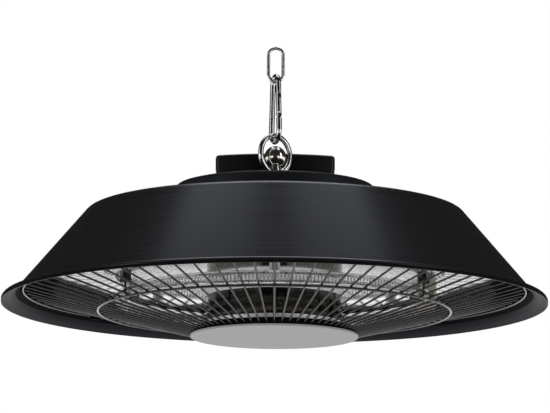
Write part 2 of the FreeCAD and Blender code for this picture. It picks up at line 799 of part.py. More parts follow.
def screw_set(label, level, places, shank, length, head, height):
    """Equal screws at listed places, heads up at a level."""
    tools = []
    for index, (across, back) in enumerate(places):
        sketch_body = new_body(f"{label}_{index + 1}", level)
        sketch_body.setExpression("Placement.Base.x", full(across))
        sketch_body.setExpression("Placement.Base.y", full(back))
        sketch = new_sketch(sketch_body, f"{label}_profile_{index + 1}", "XZ_Plane")
        screw_profile(sketch, "0", shank, length, head, height)
        revolve(sketch_body, sketch)
        tools.append(sketch_body)
    group = doc.addObject("Part::Compound", label)
    group.Label = label
    group.Links = tools
    doc.recompute()
    return group


def box_screws():
    """Screws from the cover's top into the base's posts."""
    reach = "bow_radius - sqrt(bow_radius^2 - front_post_across^2)"
    front = f"box_front + {reach} + box_wall + post_diameter/2 + post_gap"
    back = "box_back - box_wall - post_diameter/2 - post_gap"
    places = []
    for side in ("", "-"):
        places.append((side + "front_post_across", front))
        places.append((side + "back_post_across", back))
    return screw_set("box_screws", "cap_top + box_base_height + box_cover_height - box_screw_sink", places,
                     "box_screw_shank", "box_cover_height + screw_length - box_screw_sink",
                     "box_screw_head", "box_screw_head_height")


def mount_screws():
    """Screws that hold the control box down on the cap."""
    places = [("mount_across", "mount_back"), ("-mount_across", "mount_back")]
    return screw_set("mount_screws", "cap_top + box_wall", places, "screw_shank",
                     "box_wall + cap_wall + screw_length/2", "screw_head", "screw_head_height")


def cable_gland():
    """Cable gland in the box's left wall: threaded sleeve, collar and tapered nose."""
    body = new_body("cable_gland", "cap_top + gland_height")
    body.setExpression("Placement.Base.y", full("gland_setback"))
    wall = "-box_width/2"
    inside = f"{wall} + box_wall + gland_nut_height + gland_tail"
    profile = new_sketch(body, "GlandProfile", "XZ_Plane")
    outline(profile, [
        (inside, "gland_bore/2"),
        (inside, "gland_thread/2"),
        (wall, "gland_thread/2"),
        (wall, "gland_collar/2"),
        (f"{wall} - gland_collar_length", "gland_collar/2"),
        (f"{wall} - gland_length", "gland_thread/2"),
        (f"{wall} - gland_length", "gland_bore/2"),
    ])
    revolve(body, profile, "X_Axis")
    return body


def gland_nut():
    """Lock nut on the gland's thread inside the box."""
    body = new_body("gland_nut", "cap_top + gland_height")
    body.setExpression("Placement.Base.y", full("gland_setback"))
    nut = new_sketch(body, "GlandNut", "YZ_Plane", lift="box_wall - box_width/2")
    outline(nut, hexagon("0", "0", "gland_nut_width"))
    circle(nut, "0", "0", "gland_thread + hole_gap")
    pad(body, nut, "gland_nut_height")
    return body


def terminal_block():
    """Three-way terminal block on the box's floor."""
    body = new_body("terminal_block", "cap_top + box_wall")
    half = "terminal_length/2"
    front = "terminal_back - terminal_depth/2"
    back = "terminal_back + terminal_depth/2"
    plan = new_sketch(body, "BlockPlan", "XY_Plane")
    outline(plan, [("-" + half, front), (half, front), (half, back), ("-" + half, back)])
    pad(body, plan, "terminal_height")
    ways = new_sketch(body, "BlockWays", "XZ_Plane")
    for place in ("-terminal_length/3", "0", "terminal_length/3"):
        circle(ways, place, "terminal_height/2", "terminal_hole")
    cut_through(body, ways)
    return body


def lead_grommet():
    """Rubber bush where the lamp leads pass from the cap into the box."""
    body = new_body("lead_grommet", "cap_top")
    body.setExpression("Placement.Base.x", full("lead_hole_across"))
    body.setExpression("Placement.Base.y", full("lead_hole_back"))
    outer = "lead_hole/2 - hole_gap"
    profile = new_sketch(body, "GrommetProfile", "XZ_Plane")
    outline(profile, [
        ("grommet_bore/2", "-cap_wall - grommet_lip"),
        (outer, "-cap_wall - grommet_lip"),
        (outer, "box_wall"),
        (f"{outer} + grommet_lip", "box_wall"),
        (f"{outer} + grommet_lip", "box_wall + grommet_lip"),
        ("grommet_bore/2", "box_wall + grommet_lip"),
    ])
    revolve(body, profile)
    return body


def reflector():
    """Polished pan: flat middle, raised outer slope and a turned-up edge."""
    body = new_body("reflector")
    wall = "reflector_wall"
    bore = "hub_diameter/2 + hole_gap"
    low = "reflector_level"
    profile = new_sketch(body, "PanProfile", "XZ_Plane")
    outline(profile, [
        (bore, low),
        ("reflector_flat_diameter/2", low),
        ("reflector_diameter/2", "reflector_rim_height"),
        ("reflector_diameter/2", "reflector_rim_height + reflector_edge"),
        (f"reflector_diameter/2 - {wall}", "reflector_rim_height + reflector_edge"),
        (f"reflector_diameter/2 - {wall}", f"reflector_rim_height + {wall}"),
        ("reflector_flat_diameter/2", f"{low} + {wall}"),
        (bore, f"{low} + {wall}"),
    ])
    revolve(body, profile)
    hole_ring(body, "BoltHole", "spacer_circle", "spacer_count", BOLT_ANGLE, "bolt_diameter + 2*hole_gap")
    hole_ring(body, "RivetHole", "(hub_diameter + hub_flange)", "rivet_count", "0", "hub_rivet + hole_gap")
    sockets = new_sketch(body, "LeadHoles", "XY_Plane")
    for side in ("", "-"):
        circle(sockets, "lamp_diameter/2*cos(lamp_gap_angle/2)",
               f"{side}lamp_diameter/2*sin(lamp_gap_angle/2)", "lead_diameter + 2*hole_gap")
    cut_through(body, sockets)
    return body


def reflector_spacers():
    """Tubes that hold the reflector below the shade's top."""
    body = new_body("reflector_spacers", "rim_level + reflector_level + reflector_wall", BOLT_ANGLE)
    ring = new_sketch(body, "SpacerRing", "XY_Plane")
    circle(ring, "spacer_circle/2", "0", "spacer_diameter")
    circle(ring, "spacer_circle/2", "0", "bolt_diameter + 2*hole_gap")
    repeat(body, pad(body, ring, "shade_height - shade_wall - reflector_level - reflector_wall"), "spacer_count")
    return body


def reflector_bolts():
    """Long bolts from the shade's top through the spacers and the reflector."""
    return screw_ring("reflector_bolts", "spacer_circle", "spacer_count", BOLT_ANGLE, "shade_height",
                      "bolt_diameter", "shade_height - reflector_level + bolt_nut_height + bolt_tail",
                      "bolt_head", "bolt_head_height")


def nut_ring(label, level, circle_size, count, turn):
    """Equal small nuts on a circle round the heater's axis."""
    body = new_body(label, level, turn)
    nut = new_sketch(body, label + "_plan", "XY_Plane")
    outline(nut, hexagon(f"{circle_size}/2", "0", "bolt_nut_width"))
    circle(nut, f"{circle_size}/2", "0", "bolt_diameter + hole_gap")
    repeat(body, pad(body, nut, "bolt_nut_height"), count)
    return body


def reflector_nuts():
    """Nuts under the reflector."""
    return nut_ring("reflector_nuts", "rim_level + reflector_level - bolt_nut_height", "spacer_circle",
                    "spacer_count", BOLT_ANGLE)


def reflector_hub():
    """Polished can in the reflector's middle that carries the centre disc."""
    body = new_body("reflector_hub")
    outer = "hub_diameter/2"
    seat = "reflector_level + reflector_wall"
    profile = new_sketch(body, "HubProfile", "XZ_Plane")
    outline(profile, [
        ("0", "hub_floor_height"),
        (outer, "hub_floor_height"),
        (outer, seat),
        (f"{outer} + hub_flange", seat),
        (f"{outer} + hub_flange", f"{seat} + hub_wall"),
        (f"{outer} - hub_wall", f"{seat} + hub_wall"),
        (f"{outer} - hub_wall", "hub_floor_height + hub_wall"),
        ("0", "hub_floor_height + hub_wall"),
    ])
    revolve(body, profile)
    hole_ring(body, "RivetHole", "(hub_diameter + hub_flange)", "rivet_count", "0", "hub_rivet + hole_gap")
    hole_ring(body, "StudHole", "disc_stud_circle", "spacer_count", BOLT_ANGLE, "bolt_diameter + 2*hole_gap")
    return body


def hub_rivets():
    """Rivets through the hub's flange and the reflector, with a head on each side."""
    body = new_body("hub_rivets")
    sketch = new_sketch(body, "RivetProfile", "XZ_Plane", across="(hub_diameter + hub_flange)/2")
    low = "reflector_level"
    high = "reflector_level + reflector_wall + hub_wall"
    rise = "hub_rivet/3"
    outline(sketch, [
        ("0", f"{low} - {rise}"),
        ("hub_rivet_head/2", f"{low} - {rise}", f"{HEAD_ROUNDING}*{rise}"),
        ("hub_rivet_head/2", low),
        ("hub_rivet/2", low),
        ("hub_rivet/2", high),
        ("hub_rivet_head/2", high),
        ("hub_rivet_head/2", f"{high} + {rise}", f"{HEAD_ROUNDING}*{rise}"),
        ("0", f"{high} + {rise}"),
    ])
    repeat(body, revolve(body, sketch, "V_Axis"), "rivet_count")
    return body


def centre_disc():
    """Plain round plate under the hub, with an upturned lip inside the guard's collar and three studs."""
    body = new_body("centre_disc")
    lip = "collar_diameter/2 - collar_wall - hole_gap"
    top = "disc_top"
    profile = new_sketch(body, "DiscProfile", "XZ_Plane")
    outline(profile, [
        ("0", f"{top} - disc_thickness"),
        ("disc_diameter/2", f"{top} - disc_thickness", "0.45*disc_thickness"),
        ("disc_diameter/2", top),
        (lip, top),
        (lip, f"{top} + disc_lip"),
        (f"{lip} - disc_thickness", f"{top} + disc_lip"),
        (f"{lip} - disc_thickness", top),
        ("0", top),
    ])
    revolve(body, profile)
    stud = new_sketch(body, "DiscStud", "XY_Plane", lift=f"{top} - disc_thickness/2")
    angle = BOLT_ANGLE
    circle(stud, f"disc_stud_circle/2*cos({angle})", f"disc_stud_circle/2*sin({angle})", "bolt_diameter")
    repeat(body, pad(body, stud, "disc_stud_length + disc_thickness/2"), "spacer_count")
    return body


def disc_nuts():
    """Nuts on the disc's studs inside the hub."""
    return nut_ring("disc_nuts", "rim_level + hub_floor_height + hub_wall", "disc_stud_circle", "spacer_count",
                    BOLT_ANGLE)


def lamp_tube():
    """Clear tube bent into a ring, open where its ends enter the sockets."""
    body = new_body("lamp_tube", "rim_level + lamp_height", "lamp_gap_angle/2")
    section = new_sketch(body, "TubeSection", "XZ_Plane")
    circle(section, "lamp_diameter/2", "0", "tube_diameter")
    circle(section, "lamp_diameter/2", "0", "tube_diameter - 2*tube_wall")
    revolve(body, section, angle="360 - lamp_gap_angle")
    return body


def lamp_sockets():
    """Ceramic holders for the two ends of the lamp, hung under the reflector."""
    holders = []
    for side, name in ((1, "a"), (-1, "b")):
        body = new_body(f"lamp_socket_{name}", "rim_level + lamp_height", f"{side}*lamp_gap_angle/2")
        holder = new_sketch(body, f"Socket_{name}", "XZ_Plane")
        low = "-tube_diameter/2 - socket_drop"
        high = "reflector_level - lamp_height"
        middle = "lamp_diameter/2"
        outline(holder, [
            (f"{middle} - socket_width/2", low, "socket_drop"),
            (f"{middle} + socket_width/2", low, "socket_drop"),
            (f"{middle} + socket_width/2", high),
            (f"{middle} - socket_width/2", high),
        ])
        pad(body, holder, "socket_thickness", symmetric=True)
        mouth = new_sketch(body, f"Mouth_{name}", "XZ_Plane", lift=f"{side}*(-socket_thickness/2)")
        cut = cut_depth(body, circle(mouth, middle, "0", "tube_diameter + 2*socket_fit"),
                        "socket_thickness/2 + socket_fit")
        cut.Reversed = side > 0
        doc.recompute()
        holders.append(body)
    group = doc.addObject("Part::Compound", "lamp_sockets")
    group.Label = "lamp_sockets"
    group.Links = holders
    doc.recompute()
    return group


LEAD_SHARES = (0.2, 0.5, 0.8)
BEND_SHARE = 0.45
LAMP_CLIP_ANGLES = ("90", "205", "335")
HOOK_REACH = "(tube_diameter/2 + clip_seat_gap + hook_wire/2)"


def lamp_clips():
    """Blocks under the reflector that carry the lamp's wire hooks."""
    blocks = []
    for index, angle in enumerate(LAMP_CLIP_ANGLES):
        body = new_body(f"lamp_clip_{index + 1}", "rim_level", angle)
        low = "lamp_height + tube_diameter/2 + clip_seat_gap"
        middle = f"lamp_diameter/2 + {HOOK_REACH}"
        face = new_sketch(body, f"ClipFace_{index + 1}", "XZ_Plane")
        outline(face, [
            (f"{middle} - clip_block_length/2", low),
            (f"{middle} + clip_block_length/2", low),
            (f"{middle} + clip_block_length/2", "reflector_level"),
            (f"{middle} - clip_block_length/2", "reflector_level"),
        ])
        pad(body, face, "clip_block_width", symmetric=True)
        blocks.append(body)
    group = doc.addObject("Part::Compound", "lamp_clips")
    group.Label = "lamp_clips"
    group.Links = blocks
    doc.recompute()
    return group


def lamp_hooks():
    """Wire hooks under the lamp's tube, each with a leg up to its block and a short tip."""
    hooks = []
    for index, angle in enumerate(LAMP_CLIP_ANGLES):
        body = new_body(f"lamp_hook_{index + 1}", "rim_level + lamp_height", angle)
        bow = new_sketch(body, f"HookBow_{index + 1}", "XY_Plane", across="lamp_diameter/2")
        revolve(body, circle(bow, HOOK_REACH, "0", "hook_wire"), "V_Axis", "180")
        leg = new_sketch(body, f"HookLeg_{index + 1}", "XY_Plane")
        pad(body, circle(leg, f"lamp_diameter/2 + {HOOK_REACH}", "0", "hook_wire"),
            "tube_diameter/2 + clip_seat_gap")
        tip = new_sketch(body, f"HookTip_{index + 1}", "XY_Plane")
        pad(body, circle(tip, f"lamp_diameter/2 - {HOOK_REACH}", "0", "hook_wire"), "hook_tip")
        hooks.append(body)
    group = doc.addObject("Part::Compound", "lamp_hooks")
    group.Label = "lamp_hooks"
    group.Links = hooks
    doc.recompute()
    return group


def on_wire(along, aside):
    """Place a point on a guard wire, measured from its inner end along it and square to it."""
    cosine = "wire_run/wire_span"
    sine = "wire_rise/wire_span"
    return (f"(collar_diameter - collar_wall)/2 + ({along})*{cosine} - ({aside})*{sine}",
            f"guard_foot_height + ({along})*{sine} + ({aside})*{cosine}")


def guard_grille():
    """Conical wire guard: radial wires welded to a collar, a middle ring and an outer ring."""
    body = new_body("guard_grille")
    collar = new_sketch(body, "Collar", "XZ_Plane")
    outline(collar, [
        ("collar_diameter/2 - collar_wall", "disc_top"),
        ("collar_diameter/2", "disc_top"),
        ("collar_diameter/2", "disc_top + collar_height"),
        ("collar_diameter/2 - collar_wall", "disc_top + collar_height"),
    ])
    revolve(body, collar)
    wire = new_sketch(body, "GuardWire", "XZ_Plane")
    outline(wire, [on_wire("0", "0"), on_wire("wire_span", "0"), on_wire("wire_span", "guard_wire/2"),
                   on_wire("0", "guard_wire/2")])
    turned = body.newObject("PartDesign::Revolution", "GuardWireTurned")
    turned.Profile = wire
    turned.ReferenceAxis = (wire, ["Edge1"])
    turned.Angle = 360
    doc.recompute()
    repeat(body, turned, "guard_wires")
    slope = "wire_rise/wire_run"
    middle = "(guard_middle_diameter - collar_diameter + collar_wall)/2"
    rings = (("OuterRing", "guard_diameter/2", "guard_rim_height"),
             ("MiddleRing", "guard_middle_diameter/2",
              f"guard_foot_height + {middle}*{slope} - wire_lift*wire_span/wire_run"))
    for name, across, up in rings:
        revolve(body, circle(new_sketch(body, name, "XZ_Plane"), across, up, "guard_ring_wire"))
    return body


def guard_clips():
    """Spring strips on the shade's inner wall that hook under the guard's outer ring."""
    body = new_body("guard_clips", turn="45 + 180/guard_wires")
    thick = "guard_clip_thickness"
    leg = "(guard_diameter - guard_ring_wire)/2 - guard_clip_gap"
    toe = "(guard_diameter + guard_ring_wire)/2"
    foot = "guard_rim_height - guard_ring_wire/2 - guard_clip_gap"
    wall = "shade_base_diameter/2 - (shade_wall + hole_gap)*shade_stretch"
    meet = f"flange_height + ({wall} - ({leg}))/shade_lean"
    inner = f"flange_height + ({wall} - {thick}*shade_stretch - ({leg}) + {thick})/shade_lean"
    top = "guard_clip_reach"
    strip = new_sketch(body, "ClipStrip", "XZ_Plane")
    outline(strip, [
        (f"{leg} - {thick}", f"{foot} - {thick}"),
        (toe, f"{foot} - {thick}"),
        (toe, foot),
        (leg, foot),
        (leg, meet),
        (f"{wall} - shade_lean*({top} - flange_height)", top),
        (f"{wall} - shade_lean*({top} - flange_height) - {thick}*shade_stretch", top),
        (f"{leg} - {thick}", inner),
    ])
    repeat(body, pad(body, strip, "guard_clip_width", symmetric=True), "guard_clip_count")
    return body


def thermal_cutout():
    """Snap-disc cut-out on the back of the reflector."""
    body = new_body("thermal_cutout", "rim_level + reflector_level + reflector_wall")
    body.setExpression("Placement.Base.x", full("-cutout_offset"))
    profile = new_sketch(body, "CutoutProfile", "XZ_Plane")
    outline(profile, [
        ("0", "0"),
        ("cutout_diameter/2", "0"),
        ("cutout_diameter/2", "cutout_height/4"),
        ("cutout_cap_diameter/2", "cutout_height/4"),
        ("cutout_cap_diameter/2", "cutout_height"),
        ("0", "cutout_height"),
    ])
    revolve(body, profile)
    return body


def coil_point(turn):
    """Centre of the filament's wire after a number of turns along the lamp's ring."""
    turns = number("filament_turns")
    radius = number("(filament_coil - filament_wire)/2")
    gap = math.radians(number("lamp_gap_angle"))
    trim = number("socket_thickness") / number("lamp_diameter")
    azimuth = gap / 2 + trim + (2 * math.pi - gap - 2 * trim) * turn / turns
    phase = 2 * math.pi * turn
    reach = number("lamp_diameter") / 2 + radius * math.cos(phase)
    return Vector(reach * math.cos(azimuth), reach * math.sin(azimuth), radius * math.sin(phase))


def coil_way(turn):
    """Direction of the filament's wire after a number of turns."""
    step = 1e-4
    return (coil_point(turn + step) - coil_point(turn - step)).normalize()


def biarc(start, start_way, end, end_way):
    """Two arcs that join two points with given directions."""
    chord = end - start
    ways = start_way + end_way
    square = 2 * (1 - start_way.dot(end_way))
    part = chord.dot(ways)
    reach = (-part + math.sqrt(part * part + square * chord.dot(chord))) / square
    joint = (start + end + (start_way - end_way) * reach) / 2
    pieces = []
    for first, way, last in ((start, start_way, joint), (end, end_way * -1, joint)):
        across = last - first
        square_way = across - way * across.dot(way)
        radius = across.dot(across) / (2 * square_way.Length)
        centre = first + square_way.normalize() * radius
        bulge = (first + last) / 2 - centre
        pieces.append((first, centre + bulge.normalize() * radius, last))
    return pieces


def lamp_filament():
    """Coiled filament along the lamp's ring, one unbroken wire."""
    half_turns = int(round(2 * number("filament_turns")))
    edges = []
    for index in range(half_turns):
        low, high = index / 2, (index + 1) / 2
        first, second = biarc(coil_point(low), coil_way(low), coil_point(high), coil_way(high))
        edges.append(Part.Arc(*first).toShape())
        edges.append(Part.Arc(second[2], second[1], second[0]).toShape())
    path = Part.Wire(edges)
    section = Part.Wire(Part.Circle(coil_point(0), coil_way(0), number("filament_wire") / 2).toShape())
    wire = path.makePipeShell([section], True, False)
    feature = doc.addObject("Part::Feature", "lamp_filament")
    feature.Label = "lamp_filament"
    feature.Shape = wire
    feature.Placement.Base = Vector(0, 0, number("rim_level + lamp_height"))
    pitch = (coil_point(1) - coil_point(0)).Length
    ideal = math.pi * number("filament_wire") ** 2 / 4 * path.Length
    print(f"filament volume {wire.Volume:.1f} of {ideal:.1f}, gap between turns"
          f" {pitch - number('filament_wire'):.2f} mm")
    doc.recompute()
    return feature


def route_edges(points):
    """Straight runs joined by tangent arcs, each as wide as its two runs allow."""
    edges = []
    radii = []
    last = points[0]
    for before, here, after in zip(points, points[1:], points[2:]):
        way_in = (here - before).normalize()
        way_out = (after - here).normalize()
        half_turn = way_in.getAngle(way_out) / 2
        reach = BEND_SHARE * min((here - before).Length, (after - here).Length)
        start = here - way_in * reach
        end = here + way_out * reach
        radius = reach / math.tan(half_turn)
        inward = (way_out - way_in).normalize()
        centre = here + inward * (radius / math.cos(half_turn))
        edges.append(Part.LineSegment(last, start).toShape())
        edges.append(Part.Arc(start, centre - inward * radius, end).toShape())
        radii.append(round(radius, 1))
        last = end
    edges.append(Part.LineSegment(last, points[-1]).toShape())
    return edges, radii


def lamp_lead(label, side):
    """One lamp lead from its socket, through the grommet, to the top of the terminal block."""
    angle = math.radians(number("lamp_gap_angle") / 2)
    reach = number("lamp_diameter") / 2
    socket = Vector(reach * math.cos(angle), side * reach * math.sin(angle), number("reflector_level"))
    spread = side * number("lead_spread") / 2
    hole = Vector(number("lead_hole_across"), number("lead_hole_back") + spread, 0)
    box_floor = number("shade_height + cap_height")
    terminal = box_floor + number("box_wall + terminal_height")
    end = Vector(number("terminal_length") / 3, number("terminal_back") + 2 * spread, terminal)
    bend = number("terminal_height")
    low = socket + Vector(0, 0, number("lead_rise"))
    high = hole + Vector(0, 0, box_floor - bend)
    points = [socket, low]
    for share in LEAD_SHARES:
        sag = 4 * share * (1 - share) * number("lead_sag")
        points.append(low + (high - low) * share - Vector(0, 0, sag))
    points += [high, hole + Vector(0, 0, box_floor + bend)]
    points += [(hole + end) / 2 + Vector(0, 0, terminal / 2 + bend / 2), end + Vector(0, 0, bend), end]
    edges, radii = route_edges(points)
    path = Part.Wire(edges)
    start = path.Edges[0].tangentAt(path.Edges[0].FirstParameter)
    section = Part.Wire(Part.Circle(points[0], start, number("lead_diameter") / 2).toShape())
    tube = path.makePipeShell([section], True, False)
    feature = doc.addObject("Part::Feature", label)
    feature.Label = label
    feature.Shape = tube
    feature.Placement.Base = Vector(0, 0, number("rim_level"))
    ideal = math.pi * number("lead_diameter") ** 2 / 4 * path.Length
    print(f"{label} radii {radii}, volume {tube.Volume:.1f} of {ideal:.1f}")
    doc.recompute()
    return feature


def lamp_lead_a():
    """Lead of the socket nearer the box."""
    return lamp_lead("lamp_lead_a", 1)


def lamp_lead_b():
    """Lead of the other socket."""
    return lamp_lead("lamp_lead_b", -1)


def check(nodes):
    """Stop unless every object is sound and every sub-part is a valid shape."""
    for item in doc.Objects:
        if "Invalid" in item.State or "Error" in item.State:
            raise RuntimeError(f"{item.Label} failed: {item.State}")
    for node in nodes:
        if node.Shape.isNull() or not node.Shape.isValid() or not node.Shape.Solids:
            raise RuntimeError(f"{node.Label} has no valid shape")


def write(nodes):
    """Write each sub-part to its own file."""
    os.makedirs("parts", exist_ok=True)
    for node in nodes:
        node.Shape.exportStep(os.path.join("parts", node.Label + ".step"))


MAKERS = (
    chain_link, carabiner_body, carabiner_gate, gate_rivet, hanging_ring,
    ball_stud, stud_washer, stud_nut,
    shade, top_cap, cap_screws,
    box_base, box_cover, box_screws, mount_screws, cable_gland, gland_nut, terminal_block, lead_grommet,
    reflector, reflector_spacers, reflector_bolts, reflector_nuts, reflector_hub, hub_rivets,
    centre_disc, disc_nuts,
    lamp_tube, lamp_filament, lamp_sockets, lamp_clips, lamp_hooks,
    guard_grille, guard_clips,
    thermal_cutout, lamp_lead_a, lamp_lead_b,
)


def main():
    """Fill the sheet, make every sub-part, check them and write them."""
    fill_tables()
    nodes = [make() for make in MAKERS]
    check(nodes)
    write(nodes)
    print(f"{len(nodes)} sub-parts written")


main()
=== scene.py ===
"""Dress the hanging patio heater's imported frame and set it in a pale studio."""

import json
import logging
import math
from collections.abc import Callable
from dataclasses import dataclass
from enum import Enum

import bmesh
import bpy
from mathutils import Matrix, Vector


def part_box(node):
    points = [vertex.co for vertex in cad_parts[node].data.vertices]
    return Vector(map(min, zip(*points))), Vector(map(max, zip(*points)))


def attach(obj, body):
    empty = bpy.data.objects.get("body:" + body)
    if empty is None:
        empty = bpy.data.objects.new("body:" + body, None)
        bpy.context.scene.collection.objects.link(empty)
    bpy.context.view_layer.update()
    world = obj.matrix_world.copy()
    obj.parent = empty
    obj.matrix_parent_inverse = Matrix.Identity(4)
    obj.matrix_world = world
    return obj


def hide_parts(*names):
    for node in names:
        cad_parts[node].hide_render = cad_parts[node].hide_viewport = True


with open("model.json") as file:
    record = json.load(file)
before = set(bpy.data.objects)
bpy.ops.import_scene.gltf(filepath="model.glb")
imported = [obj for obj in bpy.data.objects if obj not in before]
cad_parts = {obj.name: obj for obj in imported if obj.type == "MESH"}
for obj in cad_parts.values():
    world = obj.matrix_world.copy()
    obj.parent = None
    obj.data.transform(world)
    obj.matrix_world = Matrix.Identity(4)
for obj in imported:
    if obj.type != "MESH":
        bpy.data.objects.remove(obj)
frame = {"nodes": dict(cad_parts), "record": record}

LOG = logging.getLogger("patio_heater")
Colour = tuple[float, float, float]
Point = tuple[float, float, float]
MM = 0.001
WELD_DISTANCE = 0.002 * MM
SOLID_SHARP_ANGLE = math.radians(28)
TURNED_SHARP_ANGLE = math.radians(50)
NOISE_DETAIL = 4.0
NOISE_ROUGHNESS = 0.6
NOISE_LOW, NOISE_HIGH = 0.25, 0.75
DRAWN_STRETCH = 40


class Pattern(Enum):
    """How the fine detail of a finish lies on its piece."""

    SPUN = "rings round the heater's axis, as a spinning tool leaves them"
    MOULDED = "an even grain"
    PLATED = "slow clouds"
    DRAWN = "streaks along the heater's axis"


class Steps(Enum):
    """Kinds of node that make a finish's pattern."""

    COORDINATE = "ShaderNodeTexCoord"
    VECTOR_MATH = "ShaderNodeVectorMath"
    SEPARATE = "ShaderNodeSeparateXYZ"
    COMBINE = "ShaderNodeCombineXYZ"
    NOISE = "ShaderNodeTexNoise"
    RANGE = "ShaderNodeMapRange"
    RAMP = "ShaderNodeValToRGB"
    BUMP = "ShaderNodeBump"


class Tree:
    """A node tree that is being put together."""

    def __init__(self, tree: bpy.types.NodeTree) -> None:
        """Hold the tree and empty it.

        Args:
            tree: The tree to fill.
        """
        self.tree = tree
        tree.nodes.clear()

    def add(self, kind: str, inputs: dict | None = None, **settings: object) -> bpy.types.Node:
        """Add a node.

        Args:
            kind: The node's type name.
            inputs: Values or sockets for its inputs, by name or place.
            settings: Attributes of the node itself.

        Returns:
            The new node.
        """
        node = self.tree.nodes.new(kind)
        for key, value in settings.items():
            setattr(node, key, value)
        for key, value in (inputs or {}).items():
            if isinstance(value, bpy.types.NodeSocket):
                self.tree.links.new(value, node.inputs[key])
            else:
                node.inputs[key].default_value = value
        return node


@dataclass(frozen=True)
class Finish:
    """One surface finish and the material that shows it."""

    name: str
    colour: Colour
    roughness: float
    pattern: Pattern
    repeats: float
    metallic: float = 0.0
    ior: float = 1.45
    transmission: float = 0.0
    colour_spread: float = 0.12
    rough_spread: float = 0.06
    relief: float = 0.0

    def material(self) -> bpy.types.Material:
        """Return the finish's material, made on first use."""
        return bpy.data.materials.get(self.name) or self._make()

    def _make(self) -> bpy.types.Material:
        """Build the material's nodes.

        Returns:
            The finished material.
        """
        made = bpy.data.materials.new(self.name)
        made.use_nodes = True
        made.diffuse_color = (*self.colour, 1.0)
        tree = Tree(made.node_tree)
        shader = tree.add("ShaderNodeBsdfPrincipled", {
            "Metallic": self.metallic, "IOR": self.ior, "Transmission Weight": self.transmission})
        noise = tree.add(Steps.NOISE.value, {
            "Vector": self._place(tree), "Scale": 1.0, "Detail": NOISE_DETAIL, "Roughness": NOISE_ROUGHNESS})
        ramp = tree.add(Steps.RAMP.value, {"Fac": noise.outputs["Fac"]})
        low, high = ramp.color_ramp.elements
        low.position, high.position = NOISE_LOW, NOISE_HIGH
        low.color = (*(part * (1 - self.colour_spread) for part in self.colour), 1.0)
        high.color = (*(min(part * (1 + self.colour_spread), 1.0) for part in self.colour), 1.0)
        rough = tree.add(Steps.RANGE.value, {
            "Value": noise.outputs["Fac"], "From Min": NOISE_LOW, "From Max": NOISE_HIGH,
            "To Min": max(self.roughness - self.rough_spread, 0.0),
            "To Max": self.roughness + self.rough_spread})
        links = made.node_tree.links
        links.new(ramp.outputs["Color"], shader.inputs["Base Color"])
        links.new(rough.outputs["Result"], shader.inputs["Roughness"])
        if self.relief:
            bump = tree.add(Steps.BUMP.value, {
                "Strength": 1.0, "Distance": self.relief, "Height": noise.outputs["Fac"]})
            links.new(bump.outputs["Normal"], shader.inputs["Normal"])
        out = tree.add("ShaderNodeOutputMaterial")
        links.new(shader.outputs["BSDF"], out.inputs["Surface"])
        return made

    def _place(self, tree: Tree) -> bpy.types.NodeSocket:
        """Return the coordinate that the pattern is read at.

        Args:
            tree: The material's tree.

        Returns:
            A vector socket in pattern repeats.
        """
        place = tree.add(Steps.COORDINATE.value).outputs["Object"]
        size = self.repeats
        if self.pattern is Pattern.SPUN:
            parts = tree.add(Steps.SEPARATE.value, {"Vector": place})
            flat = tree.add(Steps.COMBINE.value, {"X": parts.outputs["X"], "Y": parts.outputs["Y"]})
            radius = tree.add(Steps.VECTOR_MATH.value, {0: flat.outputs["Vector"]}, operation="LENGTH")
            place = tree.add(Steps.COMBINE.value, {
                "X": radius.outputs["Value"], "Y": 0.0, "Z": parts.outputs["Z"]}).outputs["Vector"]
        along = size / DRAWN_STRETCH if self.pattern is Pattern.DRAWN else size
        scaled = tree.add(Steps.VECTOR_MATH.value, {0: place, 1: (size, size, along)}, operation="MULTIPLY")
        return scaled.outputs["Vector"]


ENAMEL = Finish("satin black enamel", (0.0085, 0.0085, 0.009), 0.3, Pattern.SPUN, 420.0,
                rough_spread=0.05, relief=0.00003)
# A darker, duller copy of the enamel: painted shade on the shade's downward and inward faces, and the plain
# dull black of the guard's collar and clips.
DULL_BLACK_AND_PAINTED_SHADE = Finish("dull black and painted underside shade", (0.003, 0.003, 0.0033), 0.8, Pattern.SPUN, 420.0, ior=1.15)
CAP_ENAMEL = Finish("soft black enamel", (0.007, 0.0078, 0.009), 0.5, Pattern.SPUN, 420.0, ior=1.25)
# A lighter, cooler copy of the enamel for the rim's lip: painted sheen standing in for the pale floor's
# reflection on it.
LIP_PAINTED_SHEEN = Finish("satin black lip with painted sheen", (0.02, 0.021, 0.025), 0.35, Pattern.SPUN, 420.0, ior=1.07)
WIRE_ENAMEL = Finish("glossy black wire enamel", (0.008, 0.008, 0.0083), 0.15, Pattern.MOULDED, 600.0,
                     ior=1.5)
PLASTIC = Finish("black moulded plastic", (0.003, 0.003, 0.0034), 0.28, Pattern.MOULDED, 1800.0, ior=1.36,
                 relief=0.00002)
CHROME = Finish("bright chrome plate", (0.62, 0.61, 0.59), 0.09, Pattern.PLATED, 160.0, metallic=1.0,
                colour_spread=0.04, rough_spread=0.03)
NICKEL = Finish("polished nickel plate", (0.84, 0.79, 0.71), 0.15, Pattern.PLATED, 200.0, metallic=1.0,
                colour_spread=0.04, rough_spread=0.03)
ZINC = Finish("zinc plated steel", (0.55, 0.55, 0.56), 0.3, Pattern.DRAWN, 900.0, metallic=1.0)
BLACKENED = Finish("blackened steel wire", (0.03, 0.03, 0.03), 0.4, Pattern.DRAWN, 900.0, metallic=1.0)
